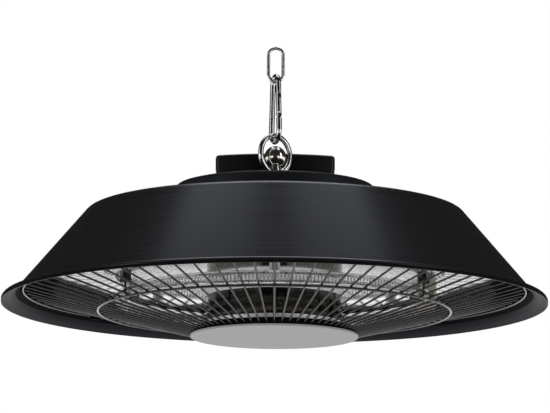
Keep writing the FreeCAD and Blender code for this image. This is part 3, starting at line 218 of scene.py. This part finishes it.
# Aluminium darkened and warmed in colour to paint in the dark, brownish reflection that the hub's mirror wall
# shows of the shade's black inside: painted reflection.
PAINTED_DARK_REFLECTION = Finish("aluminium with painted dark reflection", (0.08, 0.073, 0.064), 0.12, Pattern.SPUN, 300.0,
                       metallic=1.0)
BRUSHED = Finish("brushed aluminium", (0.93, 0.95, 0.95), 0.5, Pattern.DRAWN, 900.0, metallic=1.0,
                 colour_spread=0.04, rough_spread=0.05)
SATIN = Finish("satin aluminium", (0.8, 0.81, 0.82), 0.09, Pattern.SPUN, 90.0, metallic=1.0,
               colour_spread=0.03, rough_spread=0.02)
SILVER_COAT = Finish("silver grey coat", (0.36, 0.36, 0.37), 0.45, Pattern.MOULDED, 2500.0,
                     colour_spread=0.06, relief=0.00001)
QUARTZ = Finish("clear quartz", (0.96, 0.95, 0.94), 0.03, Pattern.PLATED, 120.0, ior=1.46, transmission=1.0,
                colour_spread=0.02, rough_spread=0.02)
TUNGSTEN = Finish("drawn tungsten wire", (0.3, 0.29, 0.28), 0.35, Pattern.DRAWN, 1500.0, metallic=1.0)
CERAMIC = Finish("unglazed beige ceramic", (0.57, 0.52, 0.43), 0.75, Pattern.MOULDED, 1400.0, relief=0.00003)
WHITE_PLASTIC = Finish("pale moulded plastic", (0.7, 0.7, 0.68), 0.5, Pattern.MOULDED, 1500.0, relief=0.00002)
RUBBER = Finish("black lead sleeving", (0.02, 0.02, 0.02), 0.65, Pattern.MOULDED, 2200.0, relief=0.00003)
FLOOR_PAINT = Finish("pale studio floor", (0.8, 0.8, 0.8), 0.9, Pattern.MOULDED, 3.0, colour_spread=0.01)
ROOM_PAINT = Finish("dim room", (0.02, 0.02, 0.02), 0.95, Pattern.MOULDED, 2.0)


def solid_copy(node: str) -> bpy.types.Mesh:
    """Copy a CAD node's mesh with its loose triangles joined and its edges kept sharp.

    Args:
        node: The node's name.

    Returns:
        A new mesh, smooth between its sharp edges.
    """
    mesh = frame["nodes"][node].data.copy()
    mesh.name = node
    for layer in [item for item in mesh.attributes if item.name == "custom_normal"]:
        mesh.attributes.remove(layer)
    work = bmesh.new()
    work.from_mesh(mesh)
    bmesh.ops.remove_doubles(work, verts=work.verts, dist=WELD_DISTANCE)
    for face in work.faces:
        face.smooth = True
    for edge in work.edges:
        edge.smooth = edge.calc_face_angle(math.pi) < SOLID_SHARP_ANGLE
    work.to_mesh(mesh)
    work.free()
    return mesh


def place_piece(name: str, mesh: bpy.types.Mesh, finish: Finish) -> bpy.types.Object:
    """Add a mesh to the scene under one finish.

    Args:
        name: The piece's name.
        mesh: Its mesh, in the frame's own place.
        finish: What it is coated with.

    Returns:
        The new object.
    """
    mesh.materials.clear()
    mesh.materials.append(finish.material())
    piece = bpy.data.objects.new(name, mesh)
    bpy.context.scene.collection.objects.link(piece)
    LOG.info("%s: %d faces, %s", name, len(mesh.polygons), finish.name)
    return piece


def coat(piece: bpy.types.Object, finish: Finish, chosen: Callable[[bpy.types.MeshPolygon], bool]) -> None:
    """Give some faces of a piece a finish of their own.

    Args:
        piece: The piece, already under its main finish.
        finish: What the chosen faces are coated with.
        chosen: Says of each face whether it is one of them.
    """
    piece.data.materials.append(finish.material())
    last = len(piece.data.materials) - 1
    for face in piece.data.polygons:
        if chosen(face):
            face.material_index = last


def settle(piece: bpy.types.Object) -> None:
    """Turn a piece's modifiers into plain mesh.

    Args:
        piece: The piece with live modifiers.
    """
    shape = piece.evaluated_get(bpy.context.evaluated_depsgraph_get())
    mesh = bpy.data.meshes.new_from_object(shape)
    piece.modifiers.clear()
    piece.data = mesh


def even_shading(piece: bpy.types.Object) -> None:
    """Smooth a piece's shading between its sharp edges.

    Args:
        piece: The piece, which is plain mesh again afterwards.
    """
    even = piece.modifiers.new("even_shading", "WEIGHTED_NORMAL")
    even.keep_sharp = True
    settle(piece)


def turned(name: str, profile: list[tuple[float, float]], around: int) -> bpy.types.Mesh:
    """Turn a closed profile about the heater's axis.

    Args:
        name: The mesh's name.
        profile: Corners as radius and height.
        around: Steps round the axis.

    Returns:
        A closed ring-shaped mesh.
    """
    work = bmesh.new()
    rows = []
    for step in range(around):
        spin = Matrix.Rotation(math.tau * step / around, 4, "Z")
        rows.append([work.verts.new(spin @ Vector((radius, 0.0, height))) for radius, height in profile])
    count = len(profile)
    for step, row in enumerate(rows):
        after = rows[(step + 1) % around]
        for place in range(count):
            work.faces.new((row[place], after[place], after[(place + 1) % count], row[(place + 1) % count]))
    for face in work.faces:
        face.smooth = True
    bmesh.ops.recalc_face_normals(work, faces=work.faces)
    for edge in work.edges:
        edge.smooth = edge.calc_face_angle(math.pi) < TURNED_SHARP_ANGLE
    mesh = bpy.data.meshes.new(name)
    work.to_mesh(mesh)
    work.free()
    return mesh


def rounded(corners: list[tuple[float, ...]], steps: int = 8) -> list[tuple[float, float]]:
    """Round the corners of a closed profile.

    Args:
        corners: Radius, height and, for a rounded corner, its own radius.
        steps: Steps along each rounded corner.

    Returns:
        The profile's points.
    """
    points = []
    for index, corner in enumerate(corners):
        here = Vector(corner[:2])
        if len(corner) == 2:
            points.append(tuple(here))
            continue
        before = (Vector(corners[index - 1][:2]) - here).normalized()
        after = (Vector(corners[(index + 1) % len(corners)][:2]) - here).normalized()
        half = before.angle(after) / 2
        middle = here + (before + after).normalized() * (corner[2] / math.sin(half))
        start = here + before * (corner[2] / math.tan(half)) - middle
        sweep = start.angle_signed(here + after * (corner[2] / math.tan(half)) - middle)
        for step in range(steps + 1):
            points.append(tuple(middle + Matrix.Rotation(-sweep * step / steps, 2) @ start))
    return points


@dataclass
class Assembly:
    """Pieces of one body that keep the CAD shape under a finish of their own."""

    body: str
    slots: dict[str, str]
    finishes: dict[str, Finish]

    def build(self) -> None:
        """Replace each node with a smooth copy that rides on the body."""
        for node, finish in self.finishes.items():
            piece = place_piece(f"{node}_finished", solid_copy(node), finish)
            even_shading(piece)
            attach(piece, self.body)
            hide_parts(node)


class Rule:
    """A geometry node tree with named inputs that makes one repeated form."""

    def __init__(self, name: str) -> None:
        """Start the tree with its input node and its geometry output.

        Args:
            name: The form's name.
        """
        self.name = name
        self.tree = bpy.data.node_groups.new(name, "GeometryNodeTree")
        self.steps = Tree(self.tree)
        self.keys: dict[str, str] = {}
        self.values: dict[str, object] = {}
        self.tree.interface.new_socket("Geometry", in_out="OUTPUT", socket_type="NodeSocketGeometry")
        self.start = self.steps.add("NodeGroupInput")

    def size(self, name: str, value: float | int) -> bpy.types.NodeSocket:
        """Add a named size to the tree.

        Args:
            name: What the size is.
            value: The size, in metres, or a count.

        Returns:
            The socket that gives it.
        """
        kind = "NodeSocketInt" if isinstance(value, int) else "NodeSocketFloat"
        self.keys[name] = self.tree.interface.new_socket(name, in_out="INPUT", socket_type=kind).identifier
        self.values[name] = value
        return self.start.outputs[name]

    def math(self, operation: str, *terms: object) -> bpy.types.NodeSocket:
        """Return the socket of one arithmetic step.

        Args:
            operation: The math node's operation.
            terms: Numbers or sockets.

        Returns:
            The result.
        """
        return self.steps.add("ShaderNodeMath", dict(enumerate(terms)), operation=operation).outputs[0]

    def vector(self, *parts: object) -> bpy.types.NodeSocket:
        """Join three numbers to a vector.

        Args:
            parts: Numbers or sockets for X, Y and Z.

        Returns:
            The vector's socket.
        """
        return self.steps.add("ShaderNodeCombineXYZ", dict(enumerate(parts))).outputs[0]

    def wire(self, line: bpy.types.NodeSocket, radius: bpy.types.NodeSocket,
             sides: int) -> bpy.types.NodeSocket:
        """Give a line the thickness of a round wire.

        Args:
            line: The curve it follows.
            radius: The wire's radius.
            sides: Faces round it.

        Returns:
            The wire's mesh.
        """
        ring = self.steps.add("GeometryNodeCurvePrimitiveCircle", {"Resolution": sides, "Radius": radius})
        return self.steps.add("GeometryNodeCurveToMesh", {
            "Curve": line, "Profile Curve": ring.outputs["Curve"], "Fill Caps": True}).outputs["Mesh"]

    def ring(self, radius: bpy.types.NodeSocket, level: bpy.types.NodeSocket,
             wire: bpy.types.NodeSocket, around: int, sides: int) -> bpy.types.NodeSocket:
        """Make a level ring of wire round the axis.

        Args:
            radius: From the axis to the wire's middle.
            level: Its height.
            wire: The wire's radius.
            around: Steps round the ring.
            sides: Faces round the wire.

        Returns:
            The ring's mesh.
        """
        line = self.steps.add("GeometryNodeCurvePrimitiveCircle", {"Resolution": around, "Radius": radius})
        made = self.wire(line.outputs["Curve"], wire, sides)
        return self.steps.add("GeometryNodeTransform", {
            "Geometry": made, "Translation": self.vector(0.0, 0.0, level)}).outputs["Geometry"]

    def joined(self, *parts: bpy.types.NodeSocket) -> bpy.types.NodeSocket:
        """Join several geometries to one.

        Args:
            parts: The sockets that give them.

        Returns:
            The joined geometry's socket.
        """
        join = self.steps.add("GeometryNodeJoinGeometry")
        for part in parts:
            self.tree.links.new(part, join.inputs["Geometry"])
        return join.outputs["Geometry"]

    def piece(self, name: str, shape: bpy.types.NodeSocket, finish: Finish) -> bpy.types.Object:
        """Finish the tree and make its piece.

        Args:
            name: The piece's name.
            shape: The tree's last geometry.
            finish: What the piece is coated with.

        Returns:
            The piece, as plain mesh.
        """
        plain = self.steps.add("GeometryNodeRealizeInstances", {"Geometry": shape})
        smooth = self.steps.add("GeometryNodeSetShadeSmooth", {"Geometry": plain.outputs["Geometry"]})
        coated = self.steps.add("GeometryNodeSetMaterial", {
            "Geometry": smooth.outputs["Geometry"], "Material": finish.material()})
        self.steps.add("NodeGroupOutput", {"Geometry": coated.outputs["Geometry"]})
        piece = place_piece(name, bpy.data.meshes.new(name), finish)
        rule = piece.modifiers.new(self.name, "NODES")
        rule.node_group = self.tree
        for key, identifier in self.keys.items():
            rule[identifier] = self.values[key]
        settle(piece)
        LOG.info("%s: %d faces from its rule", name, len(piece.data.polygons))
        return piece


@dataclass
class Guard:
    """The conical wire guard: straight wires, two rings and a collar."""

    rim_level: float
    rim_radius: float = 195.5 * MM
    rim_height: float = 9.3 * MM
    middle_radius: float = 137.2 * MM
    foot_radius: float = 63.6 * MM
    foot_height: float = -22.6 * MM
    wire: float = 0.85 * MM
    ring_wire: float = 1.0 * MM
    lift: float = 1.75 * MM
    wires: int = 72
    collar_radius: float = 64.8 * MM
    collar_wall: float = 2.4 * MM
    collar_height: float = 5.2 * MM
    collar_edge: float = 0.5 * MM
    collar_steps: int = 144
    wire_sides: int = 8
    ring_sides: int = 10
    rim_steps: int = 180
    middle_steps: int = 144

    def build(self) -> None:
        """Make the guard and put it in its node's place."""
        rule = Rule("guard_wires")
        wire = rule.size("Wire radius", self.wire)
        ring_wire = rule.size("Ring wire radius", self.ring_wire)
        rim = rule.size("Rim radius", self.rim_radius)
        rim_level = rule.size("Rim level", self.rim_level + self.rim_height)
        foot = rule.size("Foot radius", self.foot_radius)
        foot_level = rule.size("Foot level", self.rim_level + self.foot_height)
        middle = rule.size("Middle ring radius", self.middle_radius)
        lift = rule.size("Wire above ring", self.lift)
        count = rule.size("Wires", self.wires)
        top_level = rule.math("ADD", rim_level, lift)
        line = rule.steps.add("GeometryNodeCurvePrimitiveLine", {
            "Start": rule.vector(foot, 0.0, foot_level), "End": rule.vector(rim, 0.0, top_level)})
        one = rule.wire(line.outputs["Curve"], wire, self.wire_sides)
        share = rule.math("DIVIDE", rule.math("SUBTRACT", middle, foot), rule.math("SUBTRACT", rim, foot))
        rise = rule.math("MULTIPLY", share, rule.math("SUBTRACT", top_level, foot_level))
        middle_level = rule.math("SUBTRACT", rule.math("ADD", foot_level, rise), lift)
        turn = rule.math("MULTIPLY", rule.steps.add("GeometryNodeInputIndex").outputs[0],
                         rule.math("DIVIDE", math.tau, count))
        points = rule.steps.add("GeometryNodePoints", {"Count": count})
        aim = rule.steps.add("FunctionNodeEulerToRotation", {"Euler": rule.vector(0.0, 0.0, turn)})
        fan = rule.steps.add("GeometryNodeInstanceOnPoints", {
            "Points": points.outputs["Points"], "Instance": one, "Rotation": aim.outputs["Rotation"]})
        shape = rule.joined(fan.outputs["Instances"],
                            rule.ring(rim, rim_level, ring_wire, self.rim_steps, self.ring_sides),
                            rule.ring(middle, middle_level, ring_wire, self.middle_steps, self.ring_sides))
        piece = rule.piece("guard_wires_finished", shape, WIRE_ENAMEL)
        collar = place_piece("guard_collar_finished", self._collar(), DULL_BLACK_AND_PAINTED_SHADE)
        for part in (piece, collar):
            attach(part, "heater")
            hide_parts("guard_grille")

    def _collar(self) -> bpy.types.Mesh:
        """Return the collar's turned mesh."""
        outer, edge = self.collar_radius, self.collar_edge
        inner = outer - self.collar_wall
        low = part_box("guard_grille")[0].z
        high = low + self.collar_height
        profile = [(inner, low), (outer - edge, low), (outer, low + edge),
                   (outer, high - edge), (outer - edge, high), (inner, high)]
        return turned("guard_collar", profile, self.collar_steps)


@dataclass
class Shade:
    """The spun cone with its flat top, narrow flange and rolled rim."""

    rim_level: float
    radius: float = 212.5 * MM
    base_radius: float = 203.9 * MM
    top_radius: float = 145.6 * MM
    height: float = 73.2 * MM
    wall: float = 1.2 * MM
    edge_radius: float = 8.0 * MM
    opening: float = 65.0 * MM
    flange_height: float = 4.8 * MM
    flange_fillet: float = 3.0 * MM
    hem_radius: float = 3.0 * MM
    lip_radius: float = 15.0 * MM
    lip_inner: float = 192.0 * MM
    underside: float = 0.2
    lip_facing: float = -0.15
    steps_round: int = 288

    def build(self) -> None:
        """Make the shade and put it in its node's place."""
        lean = (self.base_radius - self.top_radius) / (self.height - self.flange_height)
        inset = self.wall * (math.sqrt(1 + lean * lean) - lean)
        wall = self.wall
        corners = [
            (self.opening, self.height),
            (self.top_radius, self.height, self.edge_radius),
            (self.base_radius, self.flange_height, self.flange_fillet),
            (self.radius, self.flange_height, self.hem_radius),
            (self.radius, 0.0),
            (self.radius - wall, 0.0),
            (self.base_radius - inset, self.flange_height - wall, self.lip_radius),
            (self.top_radius - inset, self.height - wall, self.edge_radius - wall),
            (self.opening, self.height - wall),
        ]
        profile = [(radius, height + self.rim_level) for radius, height in rounded(corners)]
        piece = place_piece("shade_finished", turned("shade", profile, self.steps_round), ENAMEL)
        # Downward and inward faces take the darker copy as painted shade; the lip's downward faces take the
        # lighter copy as painted sheen.
        coat(piece, DULL_BLACK_AND_PAINTED_SHADE, lambda face: face.normal.z < self.underside)
        coat(piece, LIP_PAINTED_SHEEN,
             lambda face: face.normal.z < self.lip_facing and face.center.xy.length > self.lip_inner)
        even_shading(piece)
        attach(piece, "heater")
        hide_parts("shade")


@dataclass
class Hub:
    """The hub's can, brushed at its head and foot, with a painted dark reflection on its wall between them.
    """

    rim_level: float
    dark_top: float = 6.0 * MM
    dark_bottom: float = -14.2 * MM
    wall_lean: float = 0.3

    def build(self) -> None:
        """Divide the can's wall at the two levels and put it in its node's place."""
        mesh = solid_copy("reflector_hub")
        low, high = self.rim_level + self.dark_bottom, self.rim_level + self.dark_top
        work = bmesh.new()
        work.from_mesh(mesh)
        for level in (low, high):
            every = [*work.verts, *work.edges, *work.faces]
            bmesh.ops.bisect_plane(work, geom=every, plane_co=(0.0, 0.0, level), plane_no=(0.0, 0.0, 1.0))
        work.to_mesh(mesh)
        work.free()
        piece = place_piece("reflector_hub_finished", mesh, BRUSHED)
        # The wall between the two levels is coated with painted shade: a dark reflection painted into its
        # colour.
        coat(piece, PAINTED_DARK_REFLECTION,
             lambda face: low < face.center.z < high and abs(face.normal.z) < self.wall_lean)
        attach(piece, "heater")
        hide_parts("reflector_hub")


@dataclass
class Filament:
    """The lamp's coiled wire, wound round a ring inside the tube."""

    level: float
    ring_radius: float = 120.0 * MM
    coil_radius: float = 3.15 * MM
    wire: float = 0.3 * MM
    turns: int = 250
    steps_per_turn: int = 9
    wire_sides: int = 5
    gap_angle: float = math.radians(21.5)

    def build(self) -> None:
        """Make the coil and put it in its node's place."""
        rule = Rule("filament_coil")
        ring = rule.size("Ring radius", self.ring_radius)
        coil = rule.size("Coil radius", self.coil_radius)
        wire = rule.size("Wire radius", self.wire)
        level = rule.size("Level", self.level)
        turns = rule.size("Turns", self.turns)
        gap = rule.size("Gap angle", self.gap_angle)
        steps = rule.math("MULTIPLY", turns, float(self.steps_per_turn))
        points = rule.steps.add("GeometryNodeMeshLine", {"Count": steps})
        share = rule.math("DIVIDE", rule.steps.add("GeometryNodeInputIndex").outputs[0], steps)
        sweep = rule.math("SUBTRACT", math.tau, gap)
        angle = rule.math("ADD", rule.math("DIVIDE", gap, 2.0), rule.math("MULTIPLY", share, sweep))
        phase = rule.math("MULTIPLY", rule.math("MULTIPLY", share, turns), math.tau)
        reach = rule.math("ADD", ring, rule.math("MULTIPLY", coil, rule.math("COSINE", phase)))
        place = rule.vector(rule.math("MULTIPLY", reach, rule.math("COSINE", angle)),
                            rule.math("MULTIPLY", reach, rule.math("SINE", angle)),
                            rule.math("ADD", level, rule.math("MULTIPLY", coil, rule.math("SINE", phase))))
        moved = rule.steps.add("GeometryNodeSetPosition", {
            "Geometry": points.outputs["Mesh"], "Position": place})
        line = rule.steps.add("GeometryNodeMeshToCurve", {"Mesh": moved.outputs["Geometry"]})
        coiled = rule.wire(line.outputs["Curve"], wire, self.wire_sides)
        piece = rule.piece("filament_finished", coiled, TUNGSTEN)
        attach(piece, "heater")
        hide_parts("lamp_filament")


@dataclass
class Screws:
    """Pan head screws with a cross recess, set where their node's solids are."""

    node: str
    head_radius: float = 3.5 * MM
    head_height: float = 2.4 * MM
    shank_radius: float = 1.9 * MM
    recess_length: float = 3.6 * MM
    recess_width: float = 0.9 * MM
    recess_depth: float = 1.2 * MM
    head_segments: int = 32
    head_rings: int = 16
    shank_sides: int = 20
    flat_weld: float = 0.001 * MM

    def places(self) -> list[Vector]:
        """Return the top middle of each screw's head, from the node's separate solids, in one order."""
        work = bmesh.new()
        work.from_mesh(solid_copy(self.node))
        left, tops = set(work.verts), []
        while left:
            front, island = [left.pop()], []
            while front:
                vert = front.pop()
                island.append(vert.co.copy())
                for edge in vert.link_edges:
                    other = edge.other_vert(vert)
                    if other in left:
                        left.remove(other)
                        front.append(other)
            across = [[co[axis] for co in island] for axis in range(3)]
            tops.append(Vector(((min(across[0]) + max(across[0])) / 2,
                                (min(across[1]) + max(across[1])) / 2, max(across[2]))))
        work.free()
        return sorted(tops, key=tuple)

    def build(self, slot: str) -> None:
        """Make the screws and put them in their node's place.

        Args:
            slot: The record's material slot, which is not used.
        """
        low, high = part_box(self.node)
        rule = Rule(f"{self.node}_rule")
        height = rule.size("Head height", self.head_height)
        one = rule.joined(self._head(rule, height), self._shank(rule, height, high.z - low.z))
        spots = []
        for place in self.places():
            mark = rule.steps.add("GeometryNodePoints", {"Count": 1, "Position": tuple(place)})
            spots.append(mark.outputs["Points"])
        fan = rule.steps.add("GeometryNodeInstanceOnPoints", {"Points": rule.joined(*spots), "Instance": one})
        piece = rule.piece(f"{self.node}_finished", fan.outputs["Instances"], ZINC)
        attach(piece, "heater")
        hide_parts(self.node)

    def _head(self, rule: Rule, height: bpy.types.NodeSocket) -> bpy.types.NodeSocket:
        """Make one domed head with its cross recess.

        Args:
            rule: The screws' tree.
            height: The head's height.

        Returns:
            The head's mesh, with its top at the origin.
        """
        radius = rule.size("Head radius", self.head_radius)
        recess = rule.size("Recess length", self.recess_length)
        width = rule.size("Recess width", self.recess_width)
        depth = rule.size("Recess depth", self.recess_depth)
        ball = rule.steps.add("GeometryNodeMeshUVSphere", {
            "Segments": self.head_segments, "Rings": self.head_rings, "Radius": 1.0})
        spot = rule.steps.add("GeometryNodeInputPosition").outputs[0]
        parts = rule.steps.add("ShaderNodeSeparateXYZ", {0: spot})
        lifted = rule.math("MULTIPLY", rule.math("MAXIMUM", parts.outputs["Z"], 0.0), height)
        domed = rule.steps.add("GeometryNodeSetPosition", {
            "Geometry": ball.outputs["Mesh"],
            "Position": rule.vector(rule.math("MULTIPLY", parts.outputs["X"], radius),
                                    rule.math("MULTIPLY", parts.outputs["Y"], radius),
                                    rule.math("SUBTRACT", lifted, height))})
        closed = rule.steps.add("GeometryNodeMergeByDistance", {
            "Geometry": domed.outputs["Geometry"], "Distance": self.flat_weld})
        cut = rule.steps.add("GeometryNodeMeshBoolean", {"Mesh 1": closed.outputs["Geometry"]},
                             operation="DIFFERENCE", solver="EXACT")
        both_ways = rule.math("MULTIPLY", depth, 2.0)
        for size in (rule.vector(recess, width, both_ways), rule.vector(width, recess, both_ways)):
            bar = rule.steps.add("GeometryNodeMeshCube", {"Size": size})
            rule.tree.links.new(bar.outputs["Mesh"], cut.inputs["Mesh 2"])
        return cut.outputs["Mesh"]

    def _shank(self, rule: Rule, height: bpy.types.NodeSocket, overall: float) -> bpy.types.NodeSocket:
        """Make one shank below its head.

        Args:
            rule: The screws' tree.
            height: The head's height.
            overall: The screw's length with its head.

        Returns:
            The shank's mesh.
        """
        radius = rule.size("Shank radius", self.shank_radius)
        length = rule.size("Length", overall)
        pin = rule.steps.add("GeometryNodeMeshCylinder", {
            "Vertices": self.shank_sides, "Radius": radius, "Depth": rule.math("SUBTRACT", length, height)})
        drop = rule.math("MULTIPLY", rule.math("ADD", length, height), -0.5)
        hung = rule.steps.add("GeometryNodeTransform", {
            "Geometry": pin.outputs["Mesh"], "Translation": rule.vector(0.0, 0.0, drop)})
        return hung.outputs["Geometry"]


@dataclass(frozen=True)
class SoftLight:
    """One soft light: its name, where it hangs, its face's width and height, and its power in watts."""

    name: str
    place: Point
    size: tuple[float, float]
    watts: float


STUDIO_LIGHTS = (
    SoftLight("left_softbox", (-0.21, 0.08, 0.7), (0.39, 0.365), 0.62),
    SoftLight("right_softbox", (0.21, 0.08, 0.7), (0.39, 0.365), 0.62),
    SoftLight("back_softbox", (0.0, 1.1, 1.8), (1.2, 0.5), 8.0),
    SoftLight("left_strip", (-1.9, -0.9, 0.35), (0.35, 1.6), 7.0),
    SoftLight("right_strip", (1.9, -0.9, 0.35), (0.35, 1.6), 7.0),
)


@dataclass
class Studio:
    """The pale floor, the white surround, the soft lights, the dim room above and the camera."""

    aim: Point = (0.0, 0.0, -0.1244)
    distance: float = 3.9
    elevation: float = math.radians(-9.62)
    roll: float = math.radians(0.33)
    metres_per_pixel: float = 0.00078
    picture_width: int = 550
    sensor: float = 36.0
    farthest: float = 100.0
    ambient: float = 0.8
    white: float = 1.0
    floor_drop: float = 4.5
    floor_radius: float = 6.0
    floor_sides: int = 96
    room_radius: float = 9.0
    room_segments: int = 48
    room_rings: int = 90
    room_edge: float = math.radians(2.0)
    dark_side: float = math.radians(25.0)
    dark_side_edge: float = math.radians(-18.0)
    light_colour: Colour = (0.86, 0.9, 1.0)

    def build(self) -> None:
        """Make the whole setting."""
        self._surround()
        self._floor()
        self._room()
        for light in STUDIO_LIGHTS:
            self._light(light)
        self._camera()

    def _surround(self) -> None:
        """Make a world that is white to the eye, to metal and to glass, and softer as a light."""
        world = bpy.data.worlds.new("white_surround")
        world.use_nodes = True
        tree = Tree(world.node_tree)
        path = tree.add("ShaderNodeLightPath")
        seen = tree.add("ShaderNodeMath", {
            0: path.outputs["Is Camera Ray"], 1: path.outputs["Is Glossy Ray"]}, operation="MAXIMUM")
        through = tree.add("ShaderNodeMath", {0: seen.outputs[0], 1: path.outputs["Is Transmission Ray"]},
                           operation="MAXIMUM")
        level = tree.add("ShaderNodeMapRange", {
            "Value": through.outputs[0], "To Min": self.ambient, "To Max": self.white})
        glow = tree.add("ShaderNodeBackground", {
            "Color": (1.0, 1.0, 1.0, 1.0), "Strength": level.outputs["Result"]})
        tree.add("ShaderNodeOutputWorld", {"Surface": glow.outputs["Background"]})
        bpy.context.scene.world = world

    def _floor(self) -> None:
        """Lay the floor a hanging height below."""
        bpy.ops.mesh.primitive_circle_add(vertices=self.floor_sides, radius=self.floor_radius,
                                          fill_type="NGON", location=(0.0, 0.0, -self.floor_drop))
        floor = bpy.context.object
        floor.name = "studio_floor"
        floor.data.materials.append(FLOOR_PAINT.material())

    def _room(self) -> None:
        """Hang the dim room, mirrored above the horizon and behind the camera; it blocks no light."""
        bpy.ops.mesh.primitive_uv_sphere_add(segments=self.room_segments, ring_count=self.room_rings,
                                             radius=self.room_radius)
        room = bpy.context.object
        room.name = "dim_room"
        work = bmesh.new()
        work.from_mesh(room.data)
        low = []
        for face in work.faces:
            spot = face.calc_center_median()
            behind_camera = abs(math.atan2(spot.x, -spot.y)) < self.dark_side
            edge = self.dark_side_edge if behind_camera else self.room_edge
            if spot.z < math.sin(edge) * self.room_radius:
                low.append(face)
        bmesh.ops.delete(work, geom=low, context="FACES")
        work.to_mesh(room.data)
        work.free()
        room.data.materials.append(ROOM_PAINT.material())
        for ray in ("camera", "diffuse", "shadow", "transmission", "volume_scatter"):
            setattr(room, f"visible_{ray}", False)

    def _light(self, light: SoftLight) -> None:
        """Hang one soft light that looks at the heater.

        Args:
            light: What it is and where it hangs.
        """
        lamp = bpy.data.lights.new(light.name, "AREA")
        lamp.shape = "RECTANGLE"
        lamp.size, lamp.size_y = light.size
        lamp.energy = light.watts
        lamp.color = self.light_colour
        hung = bpy.data.objects.new(light.name, lamp)
        hung.location = light.place
        hung.rotation_euler = (Vector(self.aim) - Vector(light.place)).to_track_quat("-Z", "Y").to_euler()
        bpy.context.scene.collection.objects.link(hung)

    def _camera(self) -> None:
        """Set the camera in front and below, looking up."""
        lens = bpy.data.cameras.new("camera")
        lens.sensor_width = self.sensor
        lens.lens = self.distance / self.metres_per_pixel * self.sensor / self.picture_width
        lens.clip_end = self.farthest
        camera = bpy.data.objects.new("camera", lens)
        back = Vector((0.0, -math.cos(self.elevation), math.sin(self.elevation)))
        camera.location = Vector(self.aim) + back * self.distance
        tilt = (-back).to_track_quat("-Z", "Y").to_matrix().to_4x4() @ Matrix.Rotation(self.roll, 4, "Z")
        camera.rotation_euler = tilt.to_euler()
        bpy.context.scene.collection.objects.link(camera)
        bpy.context.scene.camera = camera


def assemblies() -> list[Assembly]:
    """Return the pieces that keep their CAD shape, body by body."""
    slots = {entry["node"]: entry["material_slot"] for entry in frame["record"]["subparts"]}
    heater = {
        ENAMEL: ("lamp_clips",),
        DULL_BLACK_AND_PAINTED_SHADE: ("guard_clips",),
        CAP_ENAMEL: ("top_cap",),
        PLASTIC: ("box_base", "box_cover", "cable_gland", "gland_nut"),
        NICKEL: ("ball_stud",),
        SATIN: ("reflector",),
        SILVER_COAT: ("centre_disc",),
        QUARTZ: ("lamp_tube",),
        CERAMIC: ("lamp_sockets",),
        WHITE_PLASTIC: ("terminal_block", "thermal_cutout"),
        RUBBER: ("lead_grommet", "lamp_lead_a", "lamp_lead_b"),
        ZINC: ("stud_washer", "stud_nut", "mount_screws", "reflector_spacers", "reflector_bolts",
               "reflector_nuts", "hub_rivets", "disc_nuts"),
        BLACKENED: ("lamp_hooks",),
    }
    return [
        Assembly("link", slots, {"chain_link": CHROME}),
        Assembly("carabiner", slots, {"carabiner_body": CHROME, "gate_rivet": ZINC}),
        Assembly("gate", slots, {"carabiner_gate": CHROME}),
        Assembly("ring", slots, {"hanging_ring": CHROME}),
        Assembly("heater", slots, {node: finish for finish, nodes in heater.items() for node in nodes}),
    ]


def main() -> None:
    """Build the setting and every piece."""
    logging.basicConfig(level=logging.INFO, format="%(message)s")
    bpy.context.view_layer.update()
    bpy.context.scene.view_settings.view_transform = "Standard"
    Studio().build()
    rim_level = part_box("shade")[0].z
    for assembly in assemblies():
        assembly.build()
    Shade(rim_level).build()
    Guard(rim_level).build()
    Hub(rim_level).build()
    lamp_low, lamp_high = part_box("lamp_tube")
    Filament((lamp_low.z + lamp_high.z) / 2).build()
    Screws("cap_screws").build("steel")
    Screws("box_screws", head_radius=2.8 * MM, head_height=2.0 * MM, shank_radius=1.45 * MM,
           recess_length=3.0 * MM, recess_width=0.8 * MM, recess_depth=1.0 * MM).build("steel")


if __name__ == "__main__":
    main()
